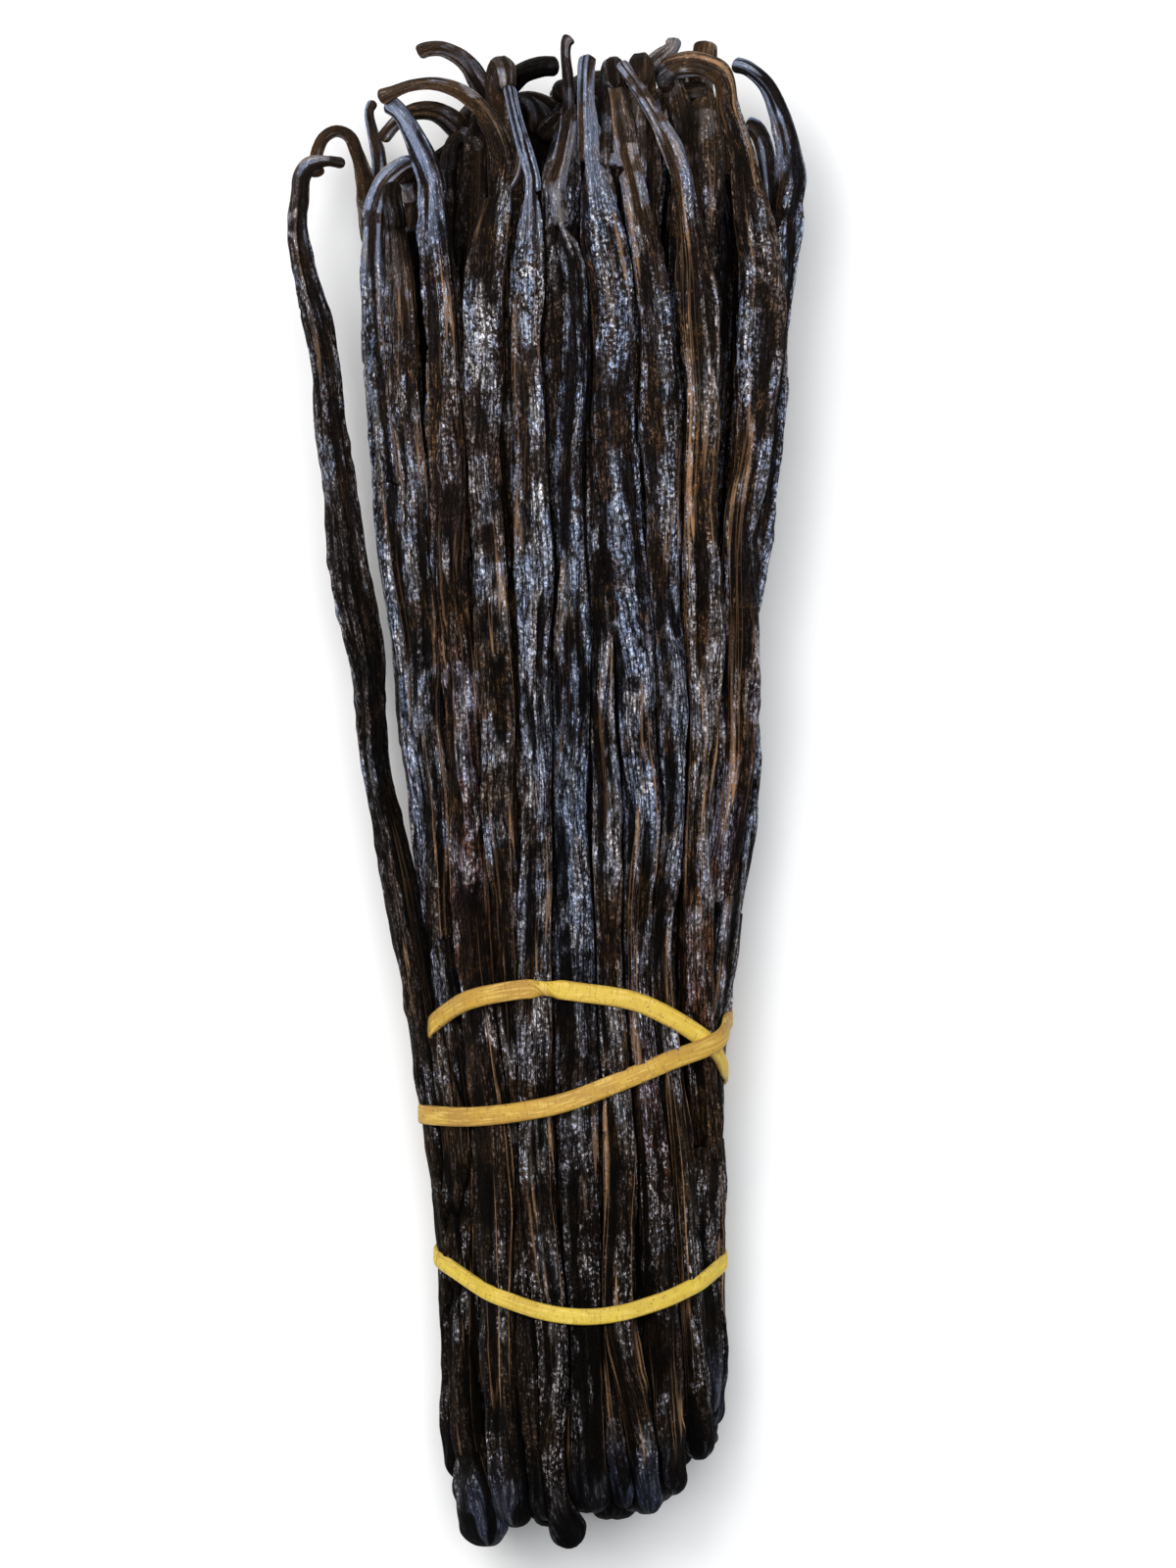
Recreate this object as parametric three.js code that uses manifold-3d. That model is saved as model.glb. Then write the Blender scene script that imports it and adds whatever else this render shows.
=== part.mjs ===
// A bundle of cured vanilla pods, tied with two rubber bands and lying on a table.
//
// Millimetres, +Z up. The pods run along +Y: blunt ends at -Y, hooked stem ends at +Y.
// The upper band is wound round the bundle twice and crosses itself once; the lower
// band goes round once. Some fifty pods are pressed together, so the ones that show
// are fused onto one core and make a single solid, and each band is a solid of its own.

import * as THREE from "three";
import { mergeVertices } from "three/addons/utils/BufferGeometryUtils.js";
import Module from "manifold-3d";

// ---------------------------------------------------------------- driving sizes

// The bundle's outline: half its width and the place of its middle by height, and its
// depth, all growing from the tied end to the loose end.
const HALF_WIDTHS = [
  [20, 17.5], [45, 18.2], [60, 19.3], [78, 20.5], [104, 23.4], [122, 24.1], [145, 26.6], [170, 28.6],
];
const MIDDLES = [[20, 1.1], [55, 0.1], [105, 0.2], [145, -0.6], [170, -0.7]];
const FOOT_DEPTH = 26.4;
const HEAD_DEPTH = 34;
const FAN_START = 28;
const FAN_END = 170;
const TOP_ROUNDNESS = 2.1; // exponents of the outline's superellipse, upper and lower half
const UNDER_ROUNDNESS = 3.4;
const REST_SINK = 0.35; // how far the lowest pods are pressed flat on the table

// One pod, away from its neighbours.
const POD_HALF_WIDTH = 2.75;
const POD_HALF_DEPTH = 2.15;
const NECK_RADIUS = 1.15;
const KNOB_RADIUS = 1.5;
const KNOB_LENGTH = 2.6;
const TIP_ROUNDING = 1.0; // length over which the stem's tip closes
const FOOT_ROUNDING = 3.6; // length over which the blunt end closes
const BULB_REACH = 5;
const SPLAY_LENGTH = 14;
const NECK_LENGTH = 8; // length of even thickness behind the stem's tip
const LUMP = 0.07; // how much a pod's thickness varies along it
const LUMP_LENGTH = 7;
const WANDER = 0.6; // how far a pod strays where it isn't tied
const WANDER_LENGTH = 13; // sideways
const BOB_LENGTH = 17; // up and down
const ON_TABLE = -0.75; // sine of the angle below which a pod lies flat on the table
const LEAN_START = 60; // below this the bands hold a pod in its place
const LOOSE_START = 76;
const LOOSE_END = 110;

// Rubber bands: a flat strip, stretched tight.
const BAND_WIDTH = 2.6;
const LOW_BAND_WIDTH = 2.2;
const BAND_THICKNESS = 0.8;
const BAND_GAP = 0.45; // clear space between a band and the pods
const STRAND_GAP = 0.3; // clear space where one strand crosses the other
const PINCH = 1.9; // how far the bands hold the lowest pods off the table
const PINCH_START = 30;
const TIED_START = 39; // the bands are wound between these heights
const TIED_END = 77;
const PINCH_END = 90;
const PARTING = 67; // where the stray pod has left the bundle, over one strand
const PARTING_REACH = 8;
const PARTING_DENT = 1.5; // how much that strand pulls the bundle's left side in
const DENT_MIDDLE = 69;
const DENT_REACH = 9;
const STRAY_X = -21.8; // the stray pod's place there
const STRAY_SLOPE = -0.139; // and how it leans out from there

// The core that the pods are fused to, inside the outer ring.
const CORE_START = 19;
const CORE_END = 166;
const CORE_INSET = 2.7;
const CORE_NARROWING = 0.35; // how much it thins towards the loose end
const CORE_TAPER_START = 140;
const CORE_SIDES = 14;
const CORE_ROWS = 6;

// Facets.
const TOP_SIDES = 6; // of the pods on top
const SIDES = 5; // of the others
const BODY_HEIGHTS = [TIED_START, TIED_END, PINCH_END, 112, 135, 158];
const PARTING_HEIGHTS = [59.2, PARTING]; // further sections beside the stray pod
const SHOWN_HOOK_STEPS = 4;
const HOOK_STEPS = 3;
const BAND_STEPS_PER_TURN = 48;

// The frame's origin, at the middle of the bounding box and on the table.
const ORIGIN_X = -4.63;
const ORIGIN_Y = 100.65;

// ---------------------------------------------------------------- small helpers

const RAD = Math.PI / 180;
const clamp01 = (t) => Math.min(1, Math.max(0, t));
const smooth = (t) => clamp01(t) ** 2 * (3 - 2 * clamp01(t));
const ease = (from, to, t) => from + (to - from) * smooth(t);
const bump = (x, reach) => Math.exp(-((x / reach) ** 2));
const rounding = (t) => Math.sqrt(1 - (1 - clamp01(t)) ** 2);
const signedPower = (v, p) => Math.sign(v) * Math.abs(v) ** p;

// How much the pods differ from one another.
const VARIED = {
  drop: [0, 9], // how far a neck is below the line of the heads
  sideways: [-1.6, 1.6],
  hookSide: [-80, 80], // degrees off the way to the bundle's middle
  hookRadius: [2.4, 4.2],
  hookTurn: [60, 150],
  hookTail: [2, 5],
  foot: [-1.5, 4],
  bulb: [0.98, 1.12],
  size: [0.94, 1.06],
  phase: [0, 360],
  taper: [16, 28],
  depth: [-0.1, 0.9],
  splay: [-0.5, 0.5],
};

// A repeatable random value for a pod, within one of these ranges.
function varied(name, pod) {
  const [low, high] = VARIED[name];
  const seed = pod * 127.1 + (Object.keys(VARIED).indexOf(name) + 1) * 311.7;
  const v = Math.sin(seed) * 43758.5453;
  return low + (high - low) * (v - Math.floor(v));
}

// A smooth curve through pairs of [position, value], held beyond the last.
function through(keys, wanted) {
  const position = Math.min(keys[keys.length - 1][0], Math.max(keys[0][0], wanted));
  const last = keys.length - 2;
  const k = Math.min(last, keys.findLastIndex(([p]) => p <= position));
  const slope = (i) => {
    const a = keys[Math.max(0, i - 1)];
    const b = keys[Math.min(keys.length - 1, i + 1)];
    return (b[1] - a[1]) / (b[0] - a[0]);
  };
  const span = keys[k + 1][0] - keys[k][0];
  const t = (position - keys[k][0]) / span;
  const bend = t * (1 - t) * span * (slope(k) * (1 - t) - slope(k + 1) * t);
  const level = keys[k][1] + (keys[k + 1][1] - keys[k][1]) * smooth(t);
  return level + bend;
}

// ---------------------------------------------------------------- the outline

const halfWidth = (y) => through(HALF_WIDTHS, y);
const middleX = (y) => through(MIDDLES, y);
const topOf = (y) => ease(FOOT_DEPTH, HEAD_DEPTH, (y - FAN_START) / (FAN_END - FAN_START));
const partingDent = (y) => PARTING_DENT * bump(y - DENT_MIDDLE, DENT_REACH);

// The height of the underside, which the bands hold clear of the table.
function bottomOf(y) {
  const below = smooth((y - PINCH_START) / (TIED_START - PINCH_START));
  const above = smooth((PINCH_END - y) / (PINCH_END - TIED_END));
  return PINCH * below * above - REST_SINK;
}
const middleZ = (y) => (topOf(y) + bottomOf(y)) / 2;
const halfDepth = (y) => (topOf(y) - bottomOf(y)) / 2;

// Which way an angle points (0 is right, 90 up, 180 left), its side's exponent, and how
// far the unit superellipse reaches there.
function outlineReach(angle) {
  const c = Math.cos(angle * RAD);
  const s = Math.sin(angle * RAD);
  const power = s < 0 ? UNDER_ROUNDNESS : TOP_ROUNDNESS;
  const reach = (Math.abs(c) ** power + Math.abs(s) ** power) ** (-1 / power);
  return { c: c * reach, s: s * reach, power };
}

// A point of the cross-section at height y. share is how far out it lies, from the
// middle to the outline.
function outlinePoint(y, angle, inset, share) {
  const { c, s } = outlineReach(angle);
  const width = halfWidth(y) - (c < 0 ? partingDent(y) : 0) - inset;
  return new THREE.Vector2(
    middleX(y) + share * width * c,
    middleZ(y) + share * (halfDepth(y) - inset) * s,
  );
}

// The outward direction of the outline there.
function outlineNormal(y, angle) {
  const { c, s, power } = outlineReach(angle);
  return new THREE.Vector2(
    signedPower(c, power - 1) / halfWidth(y),
    signedPower(s, power - 1) / halfDepth(y),
  ).normalize();
}

// ---------------------------------------------------------------- the pods

// The pods stand in rings round the bundle's middle. The outer ring's upper half is
// placed by hand, from the left side over the top to the right side.
const UPPER_ANGLES = [178, 161, 146, 131, 117, 103, 91, 69, 59, 45, 28, 9, 80];
const LOWER_COUNT = 12;
const LOWER_FROM = -7;
const LOWER_TO = -165;
const INNER_RINGS = [
  { count: 17, share: 0.7 },
  { count: 10, share: 0.42 },
  { count: 4, share: 0.14 },
];
const RING_START = 14;

// Single pods whose ends show.
//   foot   height of the blunt end
//   neck   x and y where the stem begins to bend
//   hook   [toward, radius, turn, tail]: the side it bends to (0 right, 90 up,
//          180 left, 270 down), the bend's radius and angle, and the length after it
//   bulb   how much the blunt end swells, and splay how far it leans sideways
//   swing  degrees by which the pod climbs round the bundle between its two ends
//   rise   its share of the way out at the stem end, where it differs
//   lag    how late it leans over to its neck
//   lift   how much higher than the outline its neck is
const SHOWN = {
  0: { foot: 9, neck: [-37.4, 180.2], hook: [0, 3, 90, 3.6], size: 0.97 }, // stray
  1: { foot: 4, neck: [-27, 175], hook: [20, 6, 85, 3] },
  2: { foot: 0, neck: [-23.8, 177], hook: [330, 5, 70, 3], bulb: 1.25, splay: -1.4 },
  3: { foot: 3, neck: [-19.4, 181], hook: [180, 11, 55, 3.5], bulb: 1.08 },
  4: { foot: 3.6, neck: [-10.3, 185], hook: [180, 8.4, 112, 5.6], lift: 1.5 }, // widest arch
  5: { foot: 0.6, neck: [-9.3, 189], hook: [300, 2.5, 80, 3], lag: 6, size: 0.92, splay: 2.4 },
  6: { foot: 5, neck: [-2.8, 187], hook: [290, 3, 100, 3], rise: 0.93 },
  7: { foot: 5.6, neck: [0.9, 193.5], hook: [265, 3.2, 110, 3], swing: 12, size: 1.12 },
  8: { foot: 4.8, neck: [5.6, 189], hook: [270, 2.6, 110, 3], swing: 6 },
  9: { foot: 7.2, neck: [12.6, 184.4], hook: [180, 12, 62, 2.4], swing: 10, lift: 1 },
  10: { foot: 11.8, neck: [20.7, 191.8], hook: [180, 4.9, 165, 2], lag: 3, lift: 5, splay: 1 },
  11: { foot: 16.4, neck: [28.9, 185], hook: [180, 12, 84, 1.6], lag: 9, splay: 1 }, // right arch
  12: { foot: 5.4, neck: [3.6, 184], hook: [120, 3, 60, 3], rise: 0.78 },
  13: { foot: 13, neck: [23.6, 184.2], hook: [180, 4, 75, 2], lag: 3 },
  14: { foot: 14, neck: [20.5, 178], hook: [140, 3, 60, 3] },
  23: { foot: 6, neck: [-27.4, 187.6], hook: [20, 4, 30, 2.6], size: 0.8, lag: 5 }, // thin stem
  24: { foot: 5, neck: [-29.6, 184.8], hook: [180, 2.8, 178, 3.4], lag: 8 }, // left arch
  25: { foot: 13, neck: [18.6, 184], hook: [150, 4, 80, 3] },
  26: { foot: 6, neck: [16.8, 196.6], hook: [270, 2.6, 140, 4], size: 1.1 },
  27: { foot: 5, neck: [11.6, 196.6], hook: [350, 6, 22, 2.6] }, // upright knob
  28: { foot: 4, neck: [7.7, 194.6], hook: [270, 2.2, 150, 4] },
  29: { foot: 5, neck: [-2.1, 195.2], hook: [0, 8, 10, 4.4], rise: 0.86, lag: 4 }, // tall knob
  30: { foot: 3, neck: [-11.8, 193], hook: [275, 2.6, 150, 3], size: 1.1 },
  31: { foot: 4, neck: [-14.4, 193.8], hook: [180, 4.4, 82, 3.4], size: 1.08 }, // left stem
  32: { foot: 4, neck: [-15.4, 184], hook: [180, 6, 75, 5] }, // arch below the widest one
  44: { foot: 4, neck: [4.2, 194.6], hook: [240, 2.2, 130, 4] },
  45: { foot: 4, neck: [-9.6, 191.6], hook: [0, 3.6, 75, 5.5] }, // dark stem to the right
  53: { foot: 5, neck: [-5.8, 187], hook: [100, 3, 60, 3] },
};

// The blunt ends are level on the left and rise on the right. The stem ends are
// highest in the middle.
const FOOT_LINE = [[6, 4], [17, 14]];
const HEAD_LINE = [[-27, 181], [-11, 190], [13, 190], [29, 181]];
const footLine = (x) => through(FOOT_LINE, x);
const headLine = (x) => through(HEAD_LINE, x);

function describePod(index, angle, share) {
  const shown = SHOWN[index] ?? {};
  const upperAngle = angle + (shown.swing ?? 0);
  const upperShare = shown.rise ?? share;
  const restX = outlinePoint(LEAN_START, angle, POD_HALF_DEPTH, share).x;
  const headX = outlinePoint(FAN_END, upperAngle, POD_HALF_DEPTH, upperShare).x;
  const neckY = shown.neck?.[1] ?? headLine(headX) - varied("drop", index);
  const neckX = shown.neck?.[0] ?? headX + varied("sideways", index);
  const hook = shown.hook ?? [
    angle + 180 + varied("hookSide", index),
    varied("hookRadius", index),
    varied("hookTurn", index),
    varied("hookTail", index),
  ];
  const onTable = share === 1 && Math.sin(angle * RAD) < ON_TABLE;
  return {
    index,
    angle,
    share,
    upperAngle,
    upperShare,
    foot: shown.foot ?? footLine(restX) + varied("foot", index),
    neckY,
    lean: neckX - headX,
    lag: shown.lag ?? 2,
    lift: shown.lift ?? 0,
    hook,
    bulb: shown.bulb ?? varied("bulb", index),
    splay: shown.splay ?? varied("splay", index),
    size: shown.size ?? varied("size", index),
    phase: varied("phase", index),
    taper: varied("taper", index),
    depth: onTable ? 0 : varied("depth", index),
    bob: onTable ? 0 : WANDER,
  };
}

function describePods() {
  const pods = UPPER_ANGLES.map((angle, i) => describePod(i, angle, 1));
  for (let i = 0; i < LOWER_COUNT; i += 1) {
    const angle = LOWER_FROM + ((LOWER_TO - LOWER_FROM) * i) / (LOWER_COUNT - 1);
    pods.push(describePod(pods.length, angle, 1));
  }
  for (const { count, share } of INNER_RINGS) {
    for (let i = 0; i < count; i += 1)
      pods.push(describePod(pods.length, RING_START + (360 * i) / count, share));
  }
  return pods;
}

const STRAY = 0;
const SWING_START = 100;
const SWING_END = 135;
const angleAt = (pod, y) =>
  ease(pod.angle, pod.upperAngle, (y - SWING_START) / (SWING_END - SWING_START));
const shareAt = (pod, y) =>
  ease(pod.share, pod.upperShare, (y - SWING_START) / (SWING_END - SWING_START));
const looseness = (y) => smooth((y - LOOSE_START) / (LOOSE_END - LOOSE_START));

// Where the stray pod runs, once it has left the others.
const strayX = (y) => STRAY_X + STRAY_SLOPE * (y - PARTING);
const strayShare = (y) => smooth(1 + (y - PARTING) / PARTING_REACH);

// Where a pod's middle is at height y, up to its neck.
function podMiddle(pod, y) {
  const loose = looseness(y);
  const inset = pod.size * POD_HALF_DEPTH + pod.depth * loose;
  const home = outlinePoint(Math.min(y, FAN_END), angleAt(pod, y), inset, shareAt(pod, y));
  const reach = clamp01((y - LEAN_START) / (pod.neckY - LEAN_START)) ** pod.lag;
  const astray = pod.index === STRAY ? strayShare(y) : 0;
  const splayed = pod.splay * clamp01(1 - (y - pod.foot) / SPLAY_LENGTH) ** 2;
  const leaning = home.x + pod.lean * reach + splayed;
  return new THREE.Vector3(
    leaning + (strayX(y) - leaning) * astray + loose * WANDER * Math.sin(y / WANDER_LENGTH + pod.phase),
    y,
    home.y + pod.lift * reach + loose * pod.bob * Math.cos(y / BOB_LENGTH + 2 * pod.phase),
  );
}

// The whole middle line: up the body, round the hook and along its tail.
const LINE_STEP = 4;
const BEND_STEP = 12; // degrees
function podLine(pod) {
  const points = [];
  const bodyPoints = Math.round((pod.neckY - pod.foot) / LINE_STEP);
  for (let i = 0; i <= bodyPoints; i += 1)
    points.push(podMiddle(pod, pod.foot + ((pod.neckY - pod.foot) * i) / bodyPoints));
  const [toward, radius, turn, tail] = pod.hook;
  const start = points[bodyPoints];
  const forward = start.clone().sub(podMiddle(pod, pod.neckY - 1)).normalize();
  const side = new THREE.Vector3(Math.cos(toward * RAD), 0, Math.sin(toward * RAD));
  side.addScaledVector(forward, -side.dot(forward)).normalize();
  const bendPoints = Math.max(2, Math.round(turn / BEND_STEP));
  for (let i = 1; i <= bendPoints; i += 1) {
    const bent = (turn * RAD * i) / bendPoints;
    const point = start.clone().addScaledVector(forward, radius * Math.sin(bent));
    points.push(point.addScaledVector(side, radius * (1 - Math.cos(bent))));
  }
  const out = forward.multiplyScalar(Math.cos(turn * RAD));
  out.addScaledVector(side, Math.sin(turn * RAD));
  points.push(points[points.length - 1].clone().addScaledVector(out, tail));
  return new THREE.CatmullRomCurve3(points);
}

// Half the pod's thickness, from the distances to its blunt end and to its stem's tip.
function podGirth(pod, fromFoot, fromTip) {
  const body = smooth((fromTip - NECK_LENGTH) / pod.taper);
  const swell = 1 + (pod.bulb - 1) * bump(fromFoot - BULB_REACH, BULB_REACH);
  const loose = looseness(pod.foot + fromFoot);
  const lump = 1 + LUMP * loose * Math.sin(fromFoot / LUMP_LENGTH + pod.phase);
  const knob = (KNOB_RADIUS - NECK_RADIUS) * bump(fromTip - KNOB_LENGTH / 2, KNOB_LENGTH / 2);
  const closing = rounding(fromFoot / FOOT_ROUNDING) * rounding(fromTip / TIP_ROUNDING);
  const scale = pod.size * swell * lump * closing;
  const neck = NECK_RADIUS + knob;
  return {
    wide: scale * (neck + (POD_HALF_WIDTH - neck) * body),
    deep: scale * (neck + (POD_HALF_DEPTH - neck) * body),
  };
}

// ---------------------------------------------------------------- closed lofts

// A closed body of cross-sections, made on a sphere's grid: its rows become the
// sections and its two poles the ends. place(row, angle) gives each point.
function loft(sides, rows, place) {
  const geometry = new THREE.SphereGeometry(1, sides, rows);
  const position = geometry.attributes.position;
  for (let i = 0; i < position.count; i += 1) {
    const row = Math.floor(i / (sides + 1));
    const column = (i % (sides + 1)) % sides;
    const point = place(row, (360 * column) / sides);
    position.setXYZ(i, point.x, point.y, point.z);
  }
  return geometry;
}

// A stretch of a pod, with sections at the given distances from its blunt end. The
// first and last distances are the closed ends.
function podStretch(pod, line, length, distances, sides) {
  const rows = distances.length - 1;
  const outward = outlineNormal(pod.foot, pod.angle);
  let up = new THREE.Vector3(outward.x, 0, outward.y);
  const sections = distances.map((distance) => {
    const share = clamp01(distance / length);
    const forward = line.getTangentAt(share);
    up = up.clone().addScaledVector(forward, -up.dot(forward)).normalize();
    return {
      middle: line.getPointAt(share),
      up,
      across: up.clone().cross(forward),
      girth: podGirth(pod, distance, length - distance),
    };
  });
  return loft(sides, rows, (row, angle) => {
    const { middle, up: deepWay, across, girth } = sections[row];
    const open = row > 0 && row < rows ? 1 : 0;
    return middle
      .clone()
      .addScaledVector(deepWay, open * girth.deep * Math.cos(angle * RAD))
      .addScaledVector(across, open * girth.wide * Math.sin(angle * RAD));
  });
}

function evenly(from, to, count) {
  return Array.from({ length: count }, (_, i) => from + ((to - from) * (i + 1)) / count);
}

const FOOT_SECTIONS = [0, 0.6, 3.6]; // distances from the blunt end
const PLAIN_FOOT_SECTIONS = [0, 1];
const TIP_SECTIONS = [2.6, 1.2, 0.25, 0]; // and from the stem's tip
const PLAIN_TIP_SECTIONS = [2.6, 0.5, 0];
const PARTING_SIDE = -0.7; // cosine of the last angle beside the stray pod
const HEAD_ROOT = 158; // where an inner pod's head leaves the core
const FOOT_ROOT = 25; // where an inner pod's foot enters it

// The stretches of a pod that show: all of it in the outer ring, its two ends inside.
function podPieces(pod) {
  const line = podLine(pod);
  const length = line.getLength();
  const [, radius, turn, tail] = pod.hook;
  const hookStart = length - radius * turn * RAD - tail;
  const shown = pod.index in SHOWN;
  const onTop = pod.index < UPPER_ANGLES.length;
  const sides = onTop ? TOP_SIDES : SIDES;
  const tipSections = shown ? TIP_SECTIONS : PLAIN_TIP_SECTIONS;
  const hookSteps = shown ? SHOWN_HOOK_STEPS : HOOK_STEPS;
  const hook = evenly(hookStart, length - tipSections[0], hookSteps).slice(0, -1);
  const tip = tipSections.map((fromTip) => length - fromTip);
  if (pod.share === 1) {
    const toTheLeft = Math.cos(pod.angle * RAD) < PARTING_SIDE;
    const heights = [
      ...(onTop ? [] : [PINCH_START]),
      ...(toTheLeft ? PARTING_HEIGHTS : []),
      ...BODY_HEIGHTS,
    ];
    const body = heights.map((y) => y - pod.foot).sort((a, b) => a - b);
    const whole = [...FOOT_SECTIONS, ...body, hookStart, ...hook, ...tip];
    return [podStretch(pod, line, length, whole, sides)];
  }
  const headStart = HEAD_ROOT - pod.foot;
  const head = [headStart, headStart, hookStart, ...hook, ...tip];
  const footEnd = FOOT_ROOT - pod.foot;
  return [
    podStretch(pod, line, length, head, sides),
    podStretch(pod, line, length, [...PLAIN_FOOT_SECTIONS, footEnd, footEnd], sides),
  ];
}

// The core's sections, with both ends closed flat.
function coreBody() {
  return loft(CORE_SIDES, CORE_ROWS + 2, (row, angle) => {
    const step = clamp01((row - 1) / CORE_ROWS);
    const y = CORE_START + (CORE_END - CORE_START) * step;
    const closed = row === 0 || row === CORE_ROWS + 2;
    const narrowed = (y - CORE_TAPER_START) / (CORE_END - CORE_TAPER_START);
    const share = closed ? 0 : 1 - CORE_NARROWING * smooth(narrowed);
    const point = outlinePoint(y, angle, CORE_INSET, share);
    return new THREE.Vector3(point.x, y, point.y);
  });
}

// ---------------------------------------------------------------- joining

const wasm = await Module();
wasm.setup();

function toSolid(geometry) {
  const bare = geometry.clone();
  bare.deleteAttribute("normal");
  bare.deleteAttribute("uv");
  const merged = mergeVertices(bare);
  return new wasm.Manifold(
    new wasm.Mesh({
      numProp: 3,
      vertProperties: new Float32Array(merged.attributes.position.array),
      triVerts: new Uint32Array(merged.index.array),
    }),
  );
}

function toGeometry(solid) {
  const mesh = solid.getMesh();
  const geometry = new THREE.BufferGeometry();
  geometry.setAttribute("position", new THREE.BufferAttribute(mesh.vertProperties, 3));
  geometry.setIndex(new THREE.BufferAttribute(mesh.triVerts, 1));
  geometry.computeVertexNormals();
  return geometry;
}

// The largest body alone, without sealed hollows and loose scraps.
function largestBody(solid) {
  return solid.decompose().reduce((best, body) => (body.volume() > best.volume() ? body : best));
}

// Everything below the table's level, with a wide margin.
const TABLE_SPAN = 400;
function belowTable() {
  const block = new THREE.BoxGeometry(TABLE_SPAN, TABLE_SPAN, TABLE_SPAN);
  return toSolid(block.translate(0, 0, -TABLE_SPAN / 2));
}

function podsGeometry(pods) {
  const pieces = pods.flatMap(podPieces).map(toSolid);
  const joined = pieces.reduce((whole, piece) => whole.add(piece), toSolid(coreBody()));
  return toGeometry(largestBody(joined.subtract(belowTable())));
}

// ---------------------------------------------------------------- the rubber bands

// Heights of the upper band along its two turns, by degrees round the bundle from its
// left side over the top: the higher strand first, then the one that crosses over it.
const UPPER_ROUTE = [
  [0, 68.2], [18, 71.5], [40, 73.6], [66, 74.4], [90, 73.9], [124, 72.6], [145, 69.8],
  [159, 67.2], [180, 63.2], [270, 60.2], [360, 57.6], [390, 57.4], [426, 58.6], [450, 60],
  [484, 63], [505, 65.4], [519, 67.2], [540, 70.4], [630, 70.2], [720, 68.2],
];
const CROSSING = 519;
const CROSSING_REACH = 8;
const HALF_TWISTS = [70, 216]; // one on top, one low on the right side
const TWIST_REACH = 9;

// The lower band hangs lowest in front.
const LOWER_MIDDLE = 38.2;
const LOWER_SAG = 7.2;

// How far a pod reaches from the bundle's middle in a direction, at height y.
function podSupport(pod, y, direction) {
  const middle = podMiddle(pod, y);
  const girth = podGirth(pod, y - pod.foot, pod.neckY - y);
  const out = outlineNormal(y, angleAt(pod, y));
  const deep = girth.deep * out.dot(direction);
  const wide = girth.wide * out.cross(direction);
  const offset = new THREE.Vector2(middle.x - middleX(y), middle.z - middleZ(y));
  return offset.dot(direction) + Math.hypot(deep, wide);
}

// Where a tight band lies on the pods, degrees round the bundle and at height y: the
// nearest of the straight lines that touch the pods from outside, moved out by clear.
const FEELER_STEP = 3;
const FEELER_REACH = 60;
function tightPoint(pods, y, round, clear) {
  const way = new THREE.Vector2(-Math.cos(round * RAD), Math.sin(round * RAD));
  let distance = Infinity;
  let out = null;
  for (let turn = -FEELER_REACH; turn <= FEELER_REACH; turn += FEELER_STEP) {
    const direction = way.clone().rotateAround(new THREE.Vector2(), turn * RAD);
    const support = Math.max(...pods.map((pod) => podSupport(pod, y, direction)));
    const crossing = (support + clear) / way.dot(direction);
    if (crossing < distance) {
      distance = crossing;
      out = direction;
    }
  }
  const point = way.multiplyScalar(distance);
  return {
    middle: new THREE.Vector3(point.x + middleX(y), y, point.y + middleZ(y)),
    out: new THREE.Vector3(out.x, 0, out.y),
  };
}

// A closed flat strip round the bundle. heightAt, liftAt and twistAt give its height,
// its extra distance from the pods and its roll at each degree; podsAt the pods inside it.
function bandGeometry(turns, width, heightAt, liftAt, twistAt, podsAt) {
  const steps = turns * BAND_STEPS_PER_TURN;
  const stations = [];
  for (let i = 0; i < steps; i += 1) {
    const round = (360 * turns * i) / steps;
    const clear = BAND_GAP + BAND_THICKNESS / 2 + liftAt(round);
    const station = tightPoint(podsAt(round), heightAt(round), round, clear);
    stations.push({ ...station, twist: twistAt(round) });
  }
  const corner = Math.atan2(width, BAND_THICKNESS);
  const corners = [corner, -corner, Math.PI + corner, Math.PI - corner];
  const diagonal = Math.hypot(width, BAND_THICKNESS) / 2;
  const geometry = new THREE.TorusGeometry(1, 0.5, corners.length, steps);
  const position = geometry.attributes.position;
  for (let i = 0; i < position.count; i += 1) {
    const side = Math.floor(i / (steps + 1)) % corners.length;
    const k = (i % (steps + 1)) % steps;
    const { middle, out, twist } = stations[k];
    const ahead = stations[(k + 1) % steps].middle;
    const behind = stations[(k + steps - 1) % steps].middle;
    const along = ahead.clone().sub(behind).normalize();
    const outward = out.clone().addScaledVector(along, -out.dot(along)).normalize();
    const widthWay = along.clone().cross(outward);
    const turn = corners[side] + twist;
    const point = middle
      .clone()
      .addScaledVector(outward, diagonal * Math.cos(turn))
      .addScaledVector(widthWay, diagonal * Math.sin(turn));
    position.setXYZ(i, point.x, point.y, point.z);
  }
  geometry.computeVertexNormals();
  return geometry;
}

// The upper band: two turns, lifted where it crosses itself and where it is on edge.
function upperBandGeometry(pods) {
  const held = pods.filter((pod) => pod.index !== STRAY);
  const crossLift = BAND_THICKNESS + STRAND_GAP;
  const edgeLift = (BAND_WIDTH - BAND_THICKNESS) / 2;
  const liftAt = (round) => {
    const crossing = smooth(2 - Math.abs(round - CROSSING) / CROSSING_REACH);
    const onEdge = HALF_TWISTS.map((at) => smooth(1.6 - Math.abs(round - at) / TWIST_REACH));
    return crossLift * crossing + edgeLift * Math.max(...onEdge);
  };
  const twistAt = (round) =>
    HALF_TWISTS.reduce((sum, at) => {
      return sum + Math.PI * smooth(0.5 + (round - at) / (2 * TWIST_REACH));
    }, 0);
  const overStray = (round) => round < 180 || round > 540;
  const podsAt = (round) => (overStray(round) ? held : pods);
  const heightAt = (round) => through(UPPER_ROUTE, round);
  return bandGeometry(2, BAND_WIDTH, heightAt, liftAt, twistAt, podsAt);
}

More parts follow.
